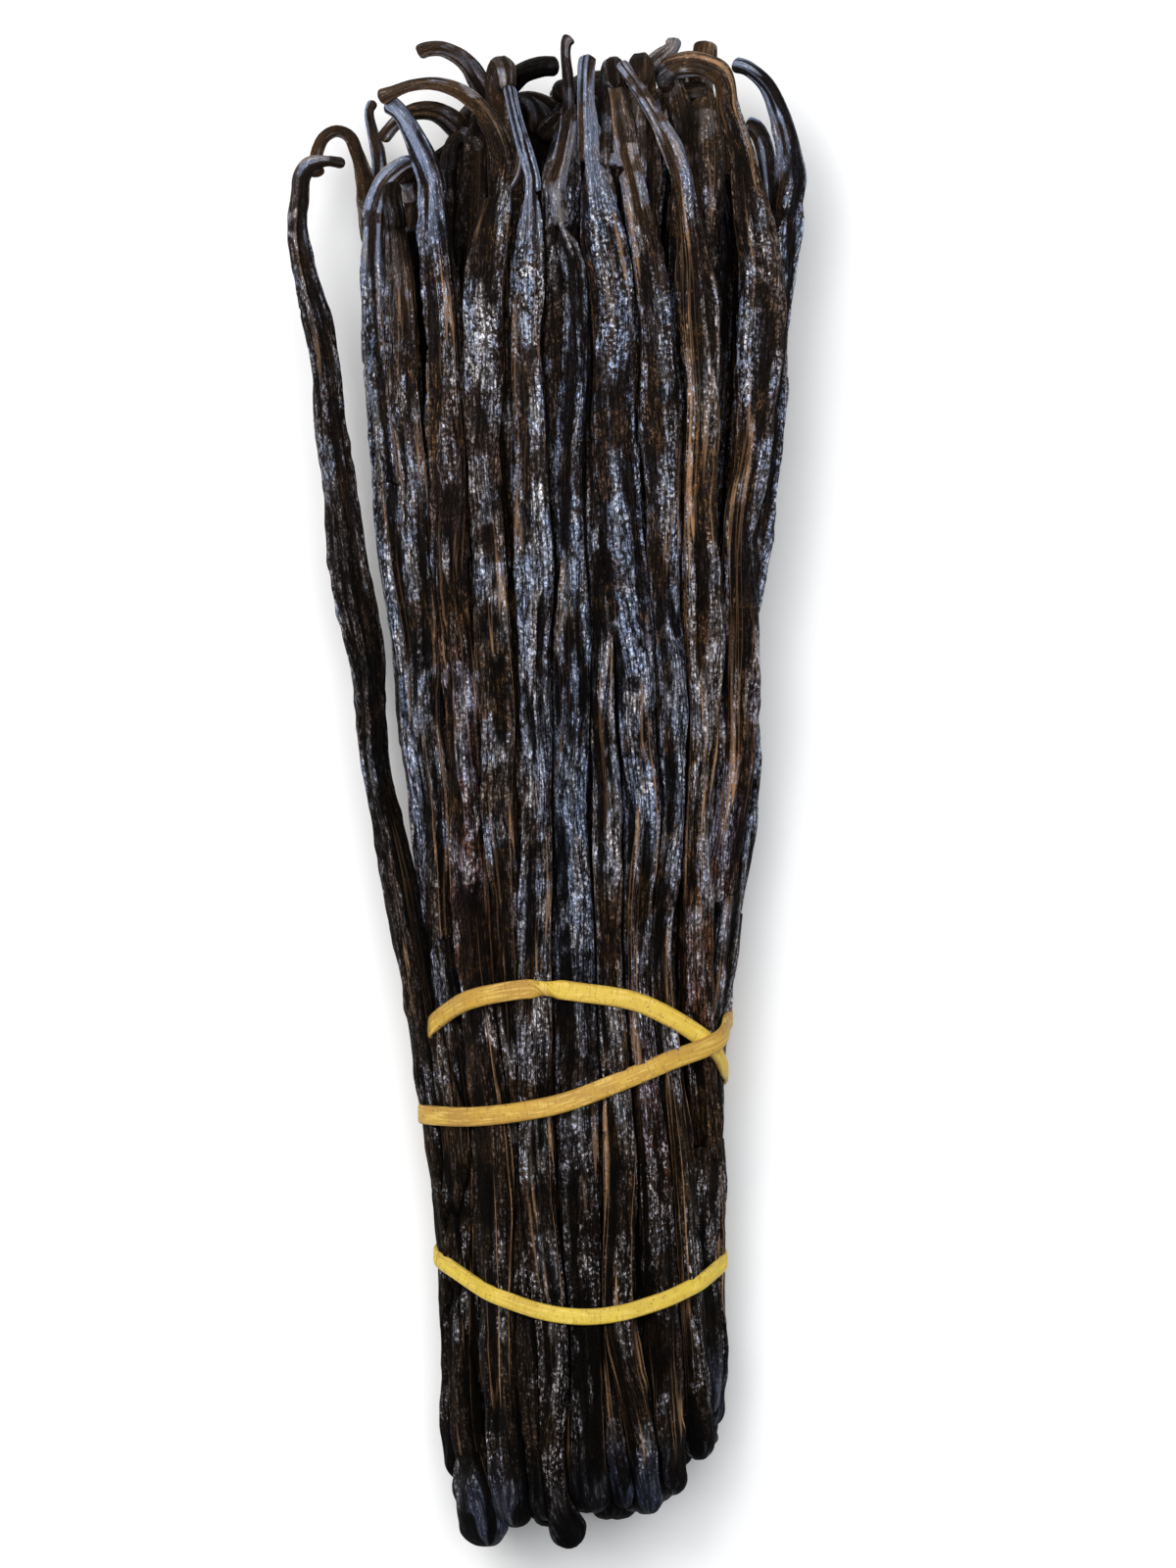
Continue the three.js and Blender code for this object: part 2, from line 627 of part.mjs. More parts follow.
function lowerBandGeometry(pods) {
  const heightAt = (round) => LOWER_MIDDLE - LOWER_SAG * Math.sin(round * RAD);
  const none = () => 0;
  return bandGeometry(1, LOW_BAND_WIDTH, heightAt, none, none, () => pods);
}

// ---------------------------------------------------------------- the bundle

const podSkin = new THREE.MeshStandardMaterial({ color: 0x2b1c14, roughness: 0.42 });
const upperRubber = new THREE.MeshStandardMaterial({ color: 0xd9b542, roughness: 0.6 });
const lowerRubber = new THREE.MeshStandardMaterial({ color: 0xe2c243, roughness: 0.6 });

function named(name, geometry, material) {
  const mesh = new THREE.Mesh(geometry, material);
  mesh.name = name;
  mesh.position.set(-ORIGIN_X, -ORIGIN_Y, 0);
  return mesh;
}

const pods = describePods();
const outerPods = pods.filter((pod) => pod.share === 1);

const bundle = new THREE.Group();
bundle.add(named("pods", podsGeometry(pods), podSkin));
bundle.add(named("band_upper", upperBandGeometry(outerPods), upperRubber));
bundle.add(named("band_lower", lowerBandGeometry(outerPods), lowerRubber));

export default bundle;
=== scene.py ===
# %% [markdown]
# # A bundle of cured vanilla pods
# Some fifty thin seed pods lie side by side, tied with two yellow rubber bands. Each pod
# is oily, nearly black and wrinkled along its length, blunt at the foot and hooked at the
# stem. The fixed frame holds the plain solids. They are loaded first, because every piece
# made here stands in for one of them and has to stay inside their box.

import math
from types import SimpleNamespace

import bmesh
import bpy
import numpy as np
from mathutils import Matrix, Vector


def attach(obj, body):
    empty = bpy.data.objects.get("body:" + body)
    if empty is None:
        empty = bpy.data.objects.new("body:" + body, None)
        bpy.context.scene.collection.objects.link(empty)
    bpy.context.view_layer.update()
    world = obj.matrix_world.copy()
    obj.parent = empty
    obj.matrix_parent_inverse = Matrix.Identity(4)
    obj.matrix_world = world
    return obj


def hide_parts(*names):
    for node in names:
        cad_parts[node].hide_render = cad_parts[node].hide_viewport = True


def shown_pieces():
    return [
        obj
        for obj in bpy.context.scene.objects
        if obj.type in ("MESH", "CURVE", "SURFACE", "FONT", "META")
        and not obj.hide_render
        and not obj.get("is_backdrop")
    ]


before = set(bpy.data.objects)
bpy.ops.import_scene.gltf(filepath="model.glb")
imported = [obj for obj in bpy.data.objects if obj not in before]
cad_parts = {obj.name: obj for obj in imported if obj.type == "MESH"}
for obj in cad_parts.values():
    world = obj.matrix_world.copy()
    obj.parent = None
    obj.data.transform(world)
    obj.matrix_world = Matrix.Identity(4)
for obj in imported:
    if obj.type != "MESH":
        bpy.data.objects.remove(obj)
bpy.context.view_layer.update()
MM = 0.001

# %% [markdown]
# ## Curves and seeded chance
# Measures are in millimetres, along x across the bundle, y from the feet to the hooks and
# z up from the table. Blender offers animation curves for easing, but short numpy
# functions work on whole rows of points at once and always give the same answer.

# %% Helpers
RAD = math.pi / 180
TINY = 1e-6


def smooth(t):
    t = np.clip(t, 0, 1)
    return t * t * (3 - 2 * t)


def ease(start, end, t):
    return start + (end - start) * smooth(t)


def bump(x, reach):
    return np.exp(-((x / reach) ** 2))


def rounding(t):
    return np.sqrt(1 - (1 - np.clip(t, 0, 1)) ** 2)


def unit(v):
    return v / np.maximum(np.linalg.norm(v, axis=-1, keepdims=True), TINY)


def through(keys, wanted):
    """A smooth curve through pairs of position and value, held beyond the last."""
    place, value = np.array(keys, float).T
    at = np.clip(wanted, place[0], place[-1])
    k = np.clip(np.searchsorted(place, at, side="right") - 1, 0, len(place) - 2)
    slope = np.empty(len(place))
    slope[1:-1] = (value[2:] - value[:-2]) / (place[2:] - place[:-2])
    slope[0] = (value[1] - value[0]) / (place[1] - place[0])
    slope[-1] = (value[-1] - value[-2]) / (place[-1] - place[-2])
    span = place[k + 1] - place[k]
    t = (at - place[k]) / span
    bend = t * (1 - t) * span * (slope[k] * (1 - t) - slope[k + 1] * t)
    return value[k] + (value[k + 1] - value[k]) * smooth(t) + bend


print("a smooth step by quarters:", [round(float(smooth(t / 4)), 2) for t in range(5)])

# %% [markdown]
# ## The bundle's outline
# Pressed together, the pods fill a flattened round that widens from the tied feet to the
# loose stems. One formula, a superellipse, gives its section at any height: a rounder
# exponent on top and a squarer one below, where the pods rest flat on the table.

# %% Outline
# By height: half the width of the bundle, and the place of its middle.
HALF_WIDTHS = [(20, 17.5), (45, 18.2), (60, 19.3), (78, 20.5), (104, 23.4), (122, 24.1),
               (145, 26.6), (170, 28.6)]
MIDDLES = [(20, 1.1), (55, 0.1), (105, 0.2), (145, -0.6), (170, -0.7)]
FOOT_DEPTH, HEAD_DEPTH, FAN_START, FAN_END = 26.4, 34, 28, 170
TOP_ROUNDNESS, UNDER_ROUNDNESS = 2.1, 3.4
REST_SINK, PINCH = 0.35, 1.9
PINCH_START, TIED_START, TIED_END, PINCH_END = 30, 39, 77, 90
SINK = 1.1  # keeps the lifted wrinkles inside the solids' box


def half_width(y):
    return through(HALF_WIDTHS, y)


def middle_x(y):
    return through(MIDDLES, y)


def top_of(y):
    return ease(FOOT_DEPTH, HEAD_DEPTH, (y - FAN_START) / (FAN_END - FAN_START)) - SINK


def bottom_of(y):
    """Height of the underside, which the bands pinch up a little where they tie."""
    rising = smooth((y - PINCH_START) / (TIED_START - PINCH_START))
    falling = smooth((PINCH_END - y) / (PINCH_END - TIED_END))
    return PINCH * (rising * falling) - REST_SINK


def outline_reach(angle):
    c, s = np.cos(angle * RAD), np.sin(angle * RAD)
    power = np.where(s < 0, UNDER_ROUNDNESS, TOP_ROUNDNESS)
    reach = (np.abs(c) ** power + np.abs(s) ** power) ** (-1 / power)
    return c * reach, s * reach, power


def outline_point(y, angle, inset, share):
    """A place at an angle round the middle, at a share of the way out to the surface."""
    c, s, _ = outline_reach(angle)
    top, bottom = top_of(y), bottom_of(y)
    x = middle_x(y) + share * (half_width(y) - inset) * c
    return x, (top + bottom) / 2 + share * ((top - bottom) / 2 - inset) * s


def outline_normal(y, angle):
    c, s, power = outline_reach(angle)
    depth = (top_of(y) - bottom_of(y)) / 2
    nx = np.sign(c) * np.abs(c) ** (power - 1) / half_width(y)
    return unit(np.stack([nx, np.sign(s) * np.abs(s) ** (power - 1) / depth], axis=-1))


def surface_height(x, y, inset):
    """Height of the bundle's upper side over a place x."""
    across = np.clip(np.abs(x - middle_x(y)) / (half_width(y) - inset), 0, 1)
    top, bottom = top_of(y), bottom_of(y)
    rise = (1 - across**TOP_ROUNDNESS) ** (1 / TOP_ROUNDNESS)
    return (top + bottom) / 2 + ((top - bottom) / 2 - inset) * rise


print("outline at the bands:", round(float(half_width(60)) * 2, 1), "wide,",
      round(float(top_of(60)), 1), "high")

# %% [markdown]
# ## Rings of pods
# The pods stand in four rings round the bundle's middle. Most keep an even place in their
# ring, with a little seeded wandering. The chance comes from a sine that is cut to its
# last digits, so that each pod and each measure has a number that never changes.

# %% Rings
UPPER_ANGLES = [178, 161, 146, 131, 117, 103, 91, 69, 59, 45, 28, 9, 80]
LOWER_COUNT, LOWER_FROM, LOWER_TO = 12, -7, -165
INNER_RINGS = [(17, 0.7), (10, 0.42), (4, 0.14)]  # pods in a ring, share of the way out
RING_START = 14
VARIED = {
    "drop": (0, 9), "sideways": (-1.6, 1.6), "hook_side": (-80, 80), "hook_radius": (2.4, 4.2),
    "hook_turn": (60, 150), "hook_tail": (2, 5), "foot": (-1.5, 4), "bulb": (0.98, 1.12),
    "size": (0.94, 1.06), "phase": (0, 360), "taper": (7.2, 12.6), "depth": (-0.1, 0.9),
    "splay": (-0.5, 0.5),
}
MEASURES = list(VARIED)
POD_STEP, MEASURE_STEP, SHUFFLE = 127.1, 311.7, 43758.5453


def varied(name, pod):
    low, high = VARIED[name]
    v = math.sin(pod * POD_STEP + (MEASURES.index(name) + 1) * MEASURE_STEP) * SHUFFLE
    return low + (high - low) * (v - math.floor(v))


print("hooks of the first pods turn by", [round(varied("hook_turn", pod)) for pod in range(4)])

# %% [markdown]
# ## Pods whose ends show
# At the hooks every stem goes its own way, and those in view are what one knows a bundle
# by. They are set one by one, while the rest get hooks of a seeded size and turn, since
# setting all of them one by one would gain nothing that shows.

# %% Shown ends
# foot is the height of the blunt end and neck the x and y where the stem leaves the body.
# path leads on from there by x, y, rise above the neck and radius. taper is the length
# over which the body narrows. lag is how late a pod leans over to its neck. rise is its
# share of the way out at the head, and lift how much higher its neck lies. bulb, splay
# and size take the place of the seeded ones.
SHOWN = {
    0: dict(foot=9, neck=(-37, 180), size=0.97, taper=30,
            path=[(-36.8, 181.8, 0.2, 1.1), (-35.7, 183.4, 0.5, 1.15), (-33.4, 183.9, 0.5, 0.72),
                  (-31, 183.5, 0.3, 0.8)]),
    1: dict(foot=4, neck=(-26.9, 177), taper=15,
            path=[(-26.2, 179.6, 0.4, 1.5), (-25, 181.7, 0.6, 1.3), (-23.3, 183.1, 0.4, 1.1),
                  (-21.6, 183.6, -0.5, 1.05)]),
    2: dict(foot=0.4, neck=(-24.2, 176), bulb=1.2, taper=14,
            path=[(-24.7, 178.8, -0.3, 1.3), (-24.5, 181, -1, 1.1)]),
    3: dict(foot=3, neck=(-19.3, 180.4), bulb=1.08, taper=9,
            path=[(-20.4, 184.2, 0.5, 1.5), (-22, 187.6, 1.2, 1.25), (-23.6, 190.1, 1.6, 1.1),
                  (-25.4, 191.5, 1.6, 1.3)]),
    4: dict(foot=4, neck=(-10.2, 182.6), lift=1, taper=14,
            path=[(-10.4, 185, 0.3, 1.85), (-11.6, 188, 0.6, 1.5), (-13.3, 190.6, 0.9, 1.15),
                  (-15.8, 192.6, 1.2, 0.9), (-19, 193.6, 1.2, 0.78), (-22.4, 193.3, 1, 0.75),
                  (-24.8, 192.4, 0.6, 0.85), (-26.4, 191.6, 0.3, 1.2)]),
    5: dict(foot=0.6, neck=(-6.3, 181), taper=16,
            path=[(-7.2, 184.6, 0, 0.95), (-8.1, 187.9, 0, 0.85), (-8.8, 190.9, 0.2, 0.8),
                  (-9.3, 193.4, -1, 0.9)]),
    6: dict(foot=5, neck=(-2.6, 176), rise=0.93, taper=12,
            path=[(-2.9, 180, 0, 1.5), (-1.9, 185, 0, 1.3), (-1.3, 188.5, -0.6, 1.2),
                  (-1.3, 191, -2, 1.1)]),
    7: dict(foot=7.2, neck=(1.3, 184.5), size=1.12, taper=16,
            path=[(1.1, 188.5, 0.3, 1.35), (0.9, 192, 0.5, 1.15), (1, 195.5, 0.3, 1.2),
                  (1.3, 197.2, -1.2, 1.2)]),
    8: dict(foot=11.8, neck=(6.4, 184), taper=18,
            path=[(5.8, 188, 0, 1.6), (5.2, 191.5, -0.6, 1.2), (4.6, 194, -2, 1.1)]),
    9: dict(foot=16, neck=(13.5, 181.4), lift=1, taper=20,
            path=[(11.9, 186, 0.8, 1.35), (10.3, 189, 1.1, 1.1), (8.5, 192, 1.2, 0.95),
                  (6.4, 195.1, 1, 0.85), (5.4, 196.5, 0.3, 1)]),
    10: dict(foot=17, neck=(21.3, 184.5), lift=2.5, lag=3, taper=12,
             path=[(20.2, 188.4, 0.5, 1.75), (19.4, 190.8, 1.1, 1.55), (19.2, 193, 1.6, 1.4),
                   (18.2, 195.2, 1.9, 1.35), (15.6, 196.3, 1.8, 1.3), (12.8, 196.1, 1, 1.25),
                   (11.3, 195, -0.2, 1.2), (11.7, 193.8, -1.4, 1.15), (13.8, 193, -2.4, 1.1),
                   (16.8, 193.4, -3.2, 1.1)]),
    11: dict(foot=17.4, neck=(27.8, 178.5), lag=9, splay=0.3, taper=8,
             path=[(28, 181.4, 0.2, 1.8), (28, 184.3, 0.4, 1.35), (27.6, 187.1, 0.6, 1.2),
                   (26.7, 190, 0.9, 1.15), (24.9, 193.8, 1.1, 1.05), (22.4, 196, 1.1, 1),
                   (20.2, 196.6, 0.6, 1.05)]),
    12: dict(foot=4.8, neck=(3.6, 184), rise=0.78,
             path=[(3.8, 187, -0.5, 1.4), (4, 190, -1.5, 1.2), (4, 192, -3, 1.1)]),
    13: dict(foot=13, neck=(25.5, 181), lag=5,
             path=[(24.6, 185.6, 0.3, 1.15), (23.4, 188.2, 0.4, 1.1), (22, 188.6, 0, 1.1)]),
    14: dict(foot=14, neck=(20.5, 178)),
    23: dict(foot=6, neck=(-26, 183.2), size=0.8, lag=6, taper=10,
             path=[(-26.8, 185.6, 0, 1), (-27.5, 188.4, 0.5, 0.75), (-27.9, 190.8, 1, 0.7),
                   (-27.2, 192.2, 1, 0.9)]),
    24: dict(foot=5, neck=(-29.2, 183.2), lag=12, taper=8, rise=0.92,
             path=[(-29.5, 185.4, 0.5, 0.95), (-30.5, 187.4, 0.8, 0.85), (-32.2, 188.1, 1, 0.8),
                   (-33.8, 187.3, 1, 0.8), (-34.7, 185.6, 0.8, 0.8), (-35, 183.6, 0.4, 0.8),
                   (-34.7, 181.9, 0, 1)]),
    25: dict(foot=13, neck=(17.8, 182), taper=12,
             path=[(17, 187.2, 0, 0.95), (16.7, 190, -1, 0.85)]),
    26: dict(foot=6, neck=(16.4, 193.4), size=1.1, taper=8,
             path=[(16.5, 197, 0.3, 1.6), (16.7, 199.7, 0.2, 1.5)]),
    27: dict(foot=5, neck=(8.2, 193.6), taper=8,
             path=[(9, 195.6, 1, 1.2), (10.8, 197.3, 1.4, 1.1), (12.3, 198.7, 1.4, 0.85),
                   (12.5, 200, 1.2, 1.15)]),
    28: dict(foot=4, neck=(8.1, 190), taper=6,
             path=[(8.1, 193.6, 0.5, 2), (8.1, 196, 1.8, 1.9), (8.2, 196.2, 3.2, 1.6),
                   (8.3, 193.6, 4, 1.2)]),
    29: dict(foot=5, neck=(-1.2, 191), rise=0.86, taper=12,
             path=[(-1.5, 194.6, 0, 0.8), (-1.8, 197.4, 0.2, 0.66), (-1.7, 199.1, 0.3, 0.75),
                   (-1.1, 200, 0.3, 1.15)]),
    30: dict(foot=3, neck=(-10.9, 190), size=1.1, taper=6,
             path=[(-10.6, 193.4, 0.6, 1.9), (-10.3, 195.6, 1.8, 1.8), (-10, 195.4, 3.2, 1.6),
                   (-9.7, 192.6, 3.9, 1.3)]),
    31: dict(foot=4, neck=(-12.6, 192), size=1.08, taper=8,
             path=[(-13.4, 194.8, 0.3, 1.3), (-15.2, 197.2, 0.6, 1.2), (-17.8, 198.6, 0.8, 1.1),
                   (-20, 198.6, 0.6, 1.1), (-21.4, 198, 0.2, 1.15)]),
    32: dict(foot=4, neck=(-15, 186),
             path=[(-16.4, 188.8, 0.5, 1.35), (-19, 190.5, 1, 1.15), (-22, 190.5, 1, 1),
                   (-24.2, 189.1, 0.8, 0.8), (-26.4, 186.6, 0.3, 0.85)]),
    33: dict(foot=6, neck=(-22.5, 170), taper=8),
    42: dict(neck=(1.2, 187), taper=6),
    43: dict(foot=4, neck=(13.9, 184), rise=0.8, taper=12,
             path=[(13.7, 187.4, 0.5, 1.5), (13.2, 190.2, 0.3, 1.7), (12.6, 192.6, -0.6, 1.5),
                   (12.2, 193.8, -1.8, 1.3)]),
    44: dict(foot=5.7, neck=(4.3, 190), taper=6,
             path=[(4.3, 193.4, 0.5, 1.7), (4.5, 195.5, 1.8, 1.6), (4.7, 195.5, 3.4, 1.5),
                   (4.8, 193, 4.2, 1.2)]),
    45: dict(foot=4, neck=(-9.4, 186),
             path=[(-9.3, 188.5, 3, 0.9), (-8.3, 188.6, 6, 0.8), (-7.9, 185.5, 8, 0.7),
                   (-8.2, 182.2, 8.6, 0.6), (-9.4, 179.9, 8.8, 0.55), (-11.5, 178.1, 8.6, 0.6)]),
    46: dict(neck=(-17, 184), taper=6),
    52: dict(neck=(-4.6, 189), taper=6),
    53: dict(foot=5, neck=(-10, 190.5), taper=8,
             path=[(-9.6, 193, 1.4, 1.4), (-8, 195, 2.6, 1.4), (-5.4, 196.1, 3.4, 1.45),
                   (-2.6, 196.2, 3.4, 1.4)]),
    54: dict(neck=(-5.6, 185), taper=6),
}
print(len(SHOWN), "pods have hand-set ends")

# %% [markdown]
# ## Front pods
# The pods that lie in front are seen from end to end. Each follows its listed keys, and a
# smooth curve runs through them, so that a few numbers place a whole pod.

# %% Front pods
# By height: (y, x of the middle, width, depth below the surface).
FRONT = {
    0: [(9, -15.4, 4.6, 1.5), (40, -16.6, 5, 1), (65, -19.6, 4.8, 0), (78, -21.7, 4.6, 0),
        (91, -24.2, 4.6, 0), (104, -26.6, 3.9, 0), (117, -28.3, 4, 0), (130, -30.2, 4.7, 0),
        (143, -31.8, 4.4, 0), (156, -33.4, 4.3, 0), (169, -36.4, 3.4, 0), (175, -37.3, 2.6, 0)],
    1: [(4, -13.9, 4.4, 3), (52, -14.6, 4.4, 3), (78, -17.6, 4.2, 1.2), (101, -20.6, 4.4, 0),
        (135, -24.2, 4.6, 0), (168, -27, 4.2, 0)],
    2: [(0, -11.9, 4.6, 0), (3, -12.2, 5.1, 0), (6, -12.8, 5.4, 0), (11, -14, 5.1, 0),
        (20, -15, 4.8, 0), (52, -15.8, 5, 0), (78, -18.1, 4.5, 0), (101, -18.8, 3.9, 0),
        (135, -21.2, 4.6, 0), (168, -23.6, 3.7, 0.8)],
    3: [(3, -8.2, 4.6, 0), (20, -9.8, 5, 0), (52, -10.8, 5.4, 0), (78, -13.3, 4.9, 0),
        (101, -14.8, 4.8, 0), (135, -16.8, 4.8, 0), (168, -18.1, 4.6, 0)],
    4: [(4, -4.2, 4.2, 0.4), (20, -5.6, 4.4, 0.6), (36, -6.9, 4.4, 1.2), (52, -8, 4.4, 2.4),
        (78, -9.4, 3.8, 0.9), (101, -10.3, 4.7, 0), (135, -11.8, 4.7, 0), (168, -12.6, 5, 0)],
    5: [(0.6, -0.3, 3.8, 0.4), (2.5, -1.6, 4.2, 0.3), (5, -3, 4.2, 0.3), (11, -4.2, 4.4, 0.4),
        (25, -3.4, 4.8, 0), (52, -5.5, 5, 0), (78, -5.7, 4.7, 0), (101, -5.4, 4.3, 0),
        (135, -6.2, 5, 0), (168, -6.6, 4.6, 0)],
    6: [(5, 2.2, 4, 0.4), (25, 1.2, 4.8, 0), (52, 0, 5.8, 0), (78, -0.3, 5.7, 0), (101, -1, 5, 0),
        (135, -0.9, 4, 0), (168, -0.4, 3.3, 0.9)],
    7: [(7.2, 12.2, 4, 0.4), (25, 11, 4.4, 0), (52, 9.6, 4.1, 0), (78, 7.5, 3.6, 0.3),
        (101, 8.4, 4.9, 0), (120, 6.6, 5.6, 0), (135, 5.2, 6, 0), (168, 3.7, 5.8, 0)],
    8: [(11.8, 16, 4.2, 0.6), (30, 14.6, 4, 0.4), (52, 13, 3.6, 0), (78, 10.7, 3.4, 0.4),
        (101, 12.2, 3.4, 0.8), (135, 11, 5, 0.2), (168, 9.6, 4.7, 0)],
    9: [(16, 17.3, 4, 0.6), (30, 17.2, 4, 0), (52, 16.8, 4, 0), (78, 15.3, 4.1, 0),
        (101, 15.7, 3.8, 0), (135, 16.1, 5.2, 0), (168, 15, 4.8, 0)],
    10: [(17, 15.2, 4, 3), (52, 16.2, 4, 3), (78, 18.4, 4.4, 0.6), (101, 20.3, 5.2, 0),
         (135, 21.6, 5.8, 0), (168, 24, 6, 0)],
    12: [(4.8, 9.3, 4, 0.5), (16, 7.8, 4.4, 0), (30, 5, 4.8, 0), (52, 5.4, 4.5, 0),
         (78, 3.9, 3.7, 0.2), (101, 3.6, 3.8, 0.2), (135, 2.8, 4, 2.4), (168, 3, 4, 4)],
    44: [(5.7, 6.2, 4, 0.9), (14, 4.6, 4, 0.7), (30, 3, 4, 1.8), (52, 2.8, 4, 4), (100, 2, 4, 6),
         (168, 4.2, 4, 5)],
}
print("hand-set pods:", sorted(FRONT))

# %% [markdown]
# ## Each pod's own numbers
# A pod is described once, as a small record, and everything that follows reads it: the
# middle line, the thickness, the wrinkles and the colours. A record beats a class here,
# because a pod does nothing itself, and its line is simply added to it later.

# %% Pods
FOOT_LINE = [(6, 4), (17, 14)]
HEAD_LINE = [(-27, 181), (-11, 190), (13, 190), (29, 181)]
POD_HALF_WIDTH, POD_HALF_DEPTH = 2.75, 2.15
ON_TABLE, LEAN_START = -0.75, 60
INNER_DROP, USUAL_LAG, BOB = 0.6, 2, 0.6
OWN_OR_SEEDED = ("bulb", "splay", "size", "taper")
FIRST_SEED = 1000


def describe(index, angle, share):
    shown = SHOWN.get(index, {})
    on_table = share == 1 and math.sin(angle * RAD) < ON_TABLE
    upper_share = shown.get("rise", share)
    rest_x = outline_point(LEAN_START, angle, POD_HALF_DEPTH, share)[0]
    head_x = outline_point(FAN_END, angle, POD_HALF_DEPTH, upper_share)[0]
    drop = varied("drop", index) * (1 if share == 1 else INNER_DROP)
    neck_y = float(through(HEAD_LINE, head_x)) - drop
    neck = shown.get("neck", (head_x + varied("sideways", index), neck_y))
    usual_foot = float(through(FOOT_LINE, rest_x)) + varied("foot", index)
    own = {name: shown.get(name, varied(name, index)) for name in OWN_OR_SEEDED}
    hook = SimpleNamespace(
        side=angle + 180 + varied("hook_side", index), radius=varied("hook_radius", index),
        turn=varied("hook_turn", index), tail=varied("hook_tail", index),
    )
    return SimpleNamespace(
        index=index, angle=angle, share=share, upper_share=upper_share, neck=neck, hook=hook,
        foot=shown.get("foot", usual_foot), phase=varied("phase", index), path=shown.get("path"),
        lean=neck[0] - head_x, lag=shown.get("lag", USUAL_LAG), lift=shown.get("lift", 0),
        depth=0 if on_table else varied("depth", index), bob=0 if on_table else BOB,
        keys=np.array(FRONT[index], float) if index in FRONT else None,
        chance=np.random.default_rng(FIRST_SEED + index), **own,
    )


pods = [describe(i, angle, 1) for i, angle in enumerate(UPPER_ANGLES)]
for i in range(LOWER_COUNT):
    angle = LOWER_FROM + (LOWER_TO - LOWER_FROM) * i / (LOWER_COUNT - 1)
    pods.append(describe(len(pods), angle, 1))
for count, share in INNER_RINGS:
    for i in range(count):
        pods.append(describe(len(pods), RING_START + 360 * i / count, share))
print(len(pods), "pods, of which", sum(p.share == 1 for p in pods), "in the outer ring")

# %% [markdown]
# ## Where the bands press
# A stretched band sinks a little into the pods, which bulge above and below it. The
# routes of both bands come before the pods, so that the pods can give way under them.

# %% Band routes
# Degrees round the bundle, from its left side over the front, and the height there.
UPPER_ROUTE = [
    (0, 68.2), (18, 71.5), (40, 73.6), (66, 74.4), (90, 73.9), (124, 72.6), (145, 69.8),
    (159, 67.2), (180, 63.2), (270, 60.2), (360, 57.6), (390, 57.4), (426, 58.6), (450, 60),
    (484, 63), (505, 65.4), (519, 67.2), (540, 70.4), (630, 70.2), (720, 68.2),
]
LOWER_MIDDLE, LOWER_SAG = 38.2, 7.2
DENT, DENT_REACH = 0.75, 3.2


def upper_height(round_way):
    return through(UPPER_ROUTE, round_way)


def lower_height(round_way):
    return LOWER_MIDDLE - LOWER_SAG * np.sin(round_way * RAD)


def dent(angle, y):
    """How far the bands press in a pod that lies at an angle round the bundle."""
    round_way = (180 - angle) % 360
    heights = (upper_height(round_way), upper_height(round_way + 360), lower_height(round_way))
    return DENT * sum(bump(y - float(h), DENT_REACH) for h in heights)


print("lower band hangs to", round(float(lower_height(90)), 1), "in front")

# %% [markdown]
# ## A pod's middle line
# The body follows its keys or its ring. Above the bands it is loose, so it wanders and
# kinks a little. A curve object could carry it, but the wrinkles need to know every pod's
# place at once, so the line is a row of close points.

# %% Body lines
LOOSE_START, LOOSE_END = 76, 110
WANDER, WANDER_LENGTH, BOB_LENGTH, SPLAY_LENGTH = 0.6, 13, 17, 14
RISE_START, RISE_LENGTH = 100, 35
KINK, KINK_LENGTH, SMALL_KINK, SMALL_KINK_LENGTH, KINK_FADE = 0.28, 7.3, 0.6, 3.6, 4
HALF_OF_WIDTH = 0.56  # a little over a half, since neighbours overlap
DEPTH_OF_WIDTH, SHALLOWEST, DEEPEST = 0.88, 1.6, 2.4


def looseness(y):
    return smooth((y - LOOSE_START) / (LOOSE_END - LOOSE_START))


def body_width(pod, y):
    """Half the width and half the depth of a pod's body, away from its ends."""
    if pod.keys is None:
        return pod.size * POD_HALF_WIDTH + 0 * y, pod.size * POD_HALF_DEPTH + 0 * y
    wide = through(pod.keys[:, (0, 2)], y) * HALF_OF_WIDTH
    return wide, np.clip(wide * DEPTH_OF_WIDTH, SHALLOWEST, DEEPEST)


def ring_middle(pod, y, loose, reach):
    """The line of a pod that keeps its place in its ring."""
    pressed_in = dent(pod.angle, y) if pod.share == 1 else 0
    inset = pod.size * POD_HALF_DEPTH + pod.depth * loose + pressed_in
    share = ease(pod.share, pod.upper_share, (y - RISE_START) / RISE_LENGTH)
    x, z = outline_point(np.minimum(y, FAN_END), pod.angle, inset, share)
    splayed = pod.splay * np.clip(1 - (y - pod.foot) / SPLAY_LENGTH, 0, 1) ** 2
    sideways = loose * WANDER * np.sin(y / WANDER_LENGTH + pod.phase)
    bobbing = loose * pod.bob * np.cos(y / BOB_LENGTH + 2 * pod.phase)
    return x + pod.lean * reach + splayed + sideways, z + pod.lift * reach + bobbing


def front_middle(pod, y, loose, reach):
    """The line of a pod that follows its keys."""
    line = [(k[0], k[1]) for k in pod.keys] + [pod.neck[::-1]]
    small = SMALL_KINK * np.sin(y / SMALL_KINK_LENGTH + 2 * pod.phase)
    kinks = np.sin(y / KINK_LENGTH + pod.phase) + small
    x = through(line, y) + loose * KINK * kinks * (1 - reach**KINK_FADE)
    deep = body_width(pod, y)[1]
    z = surface_height(x, np.minimum(y, FAN_END), deep) - through(pod.keys[:, (0, 3)], y)
    return x, z - dent(pod.angle, y) + pod.lift * reach


def pod_middle(pod, y):
    reach = np.clip((y - LEAN_START) / (pod.neck[1] - LEAN_START), 0, 1) ** pod.lag
    x, z = (ring_middle if pod.keys is None else front_middle)(pod, y, looseness(y), reach)
    return np.stack([x, y + 0 * x, z], axis=-1)


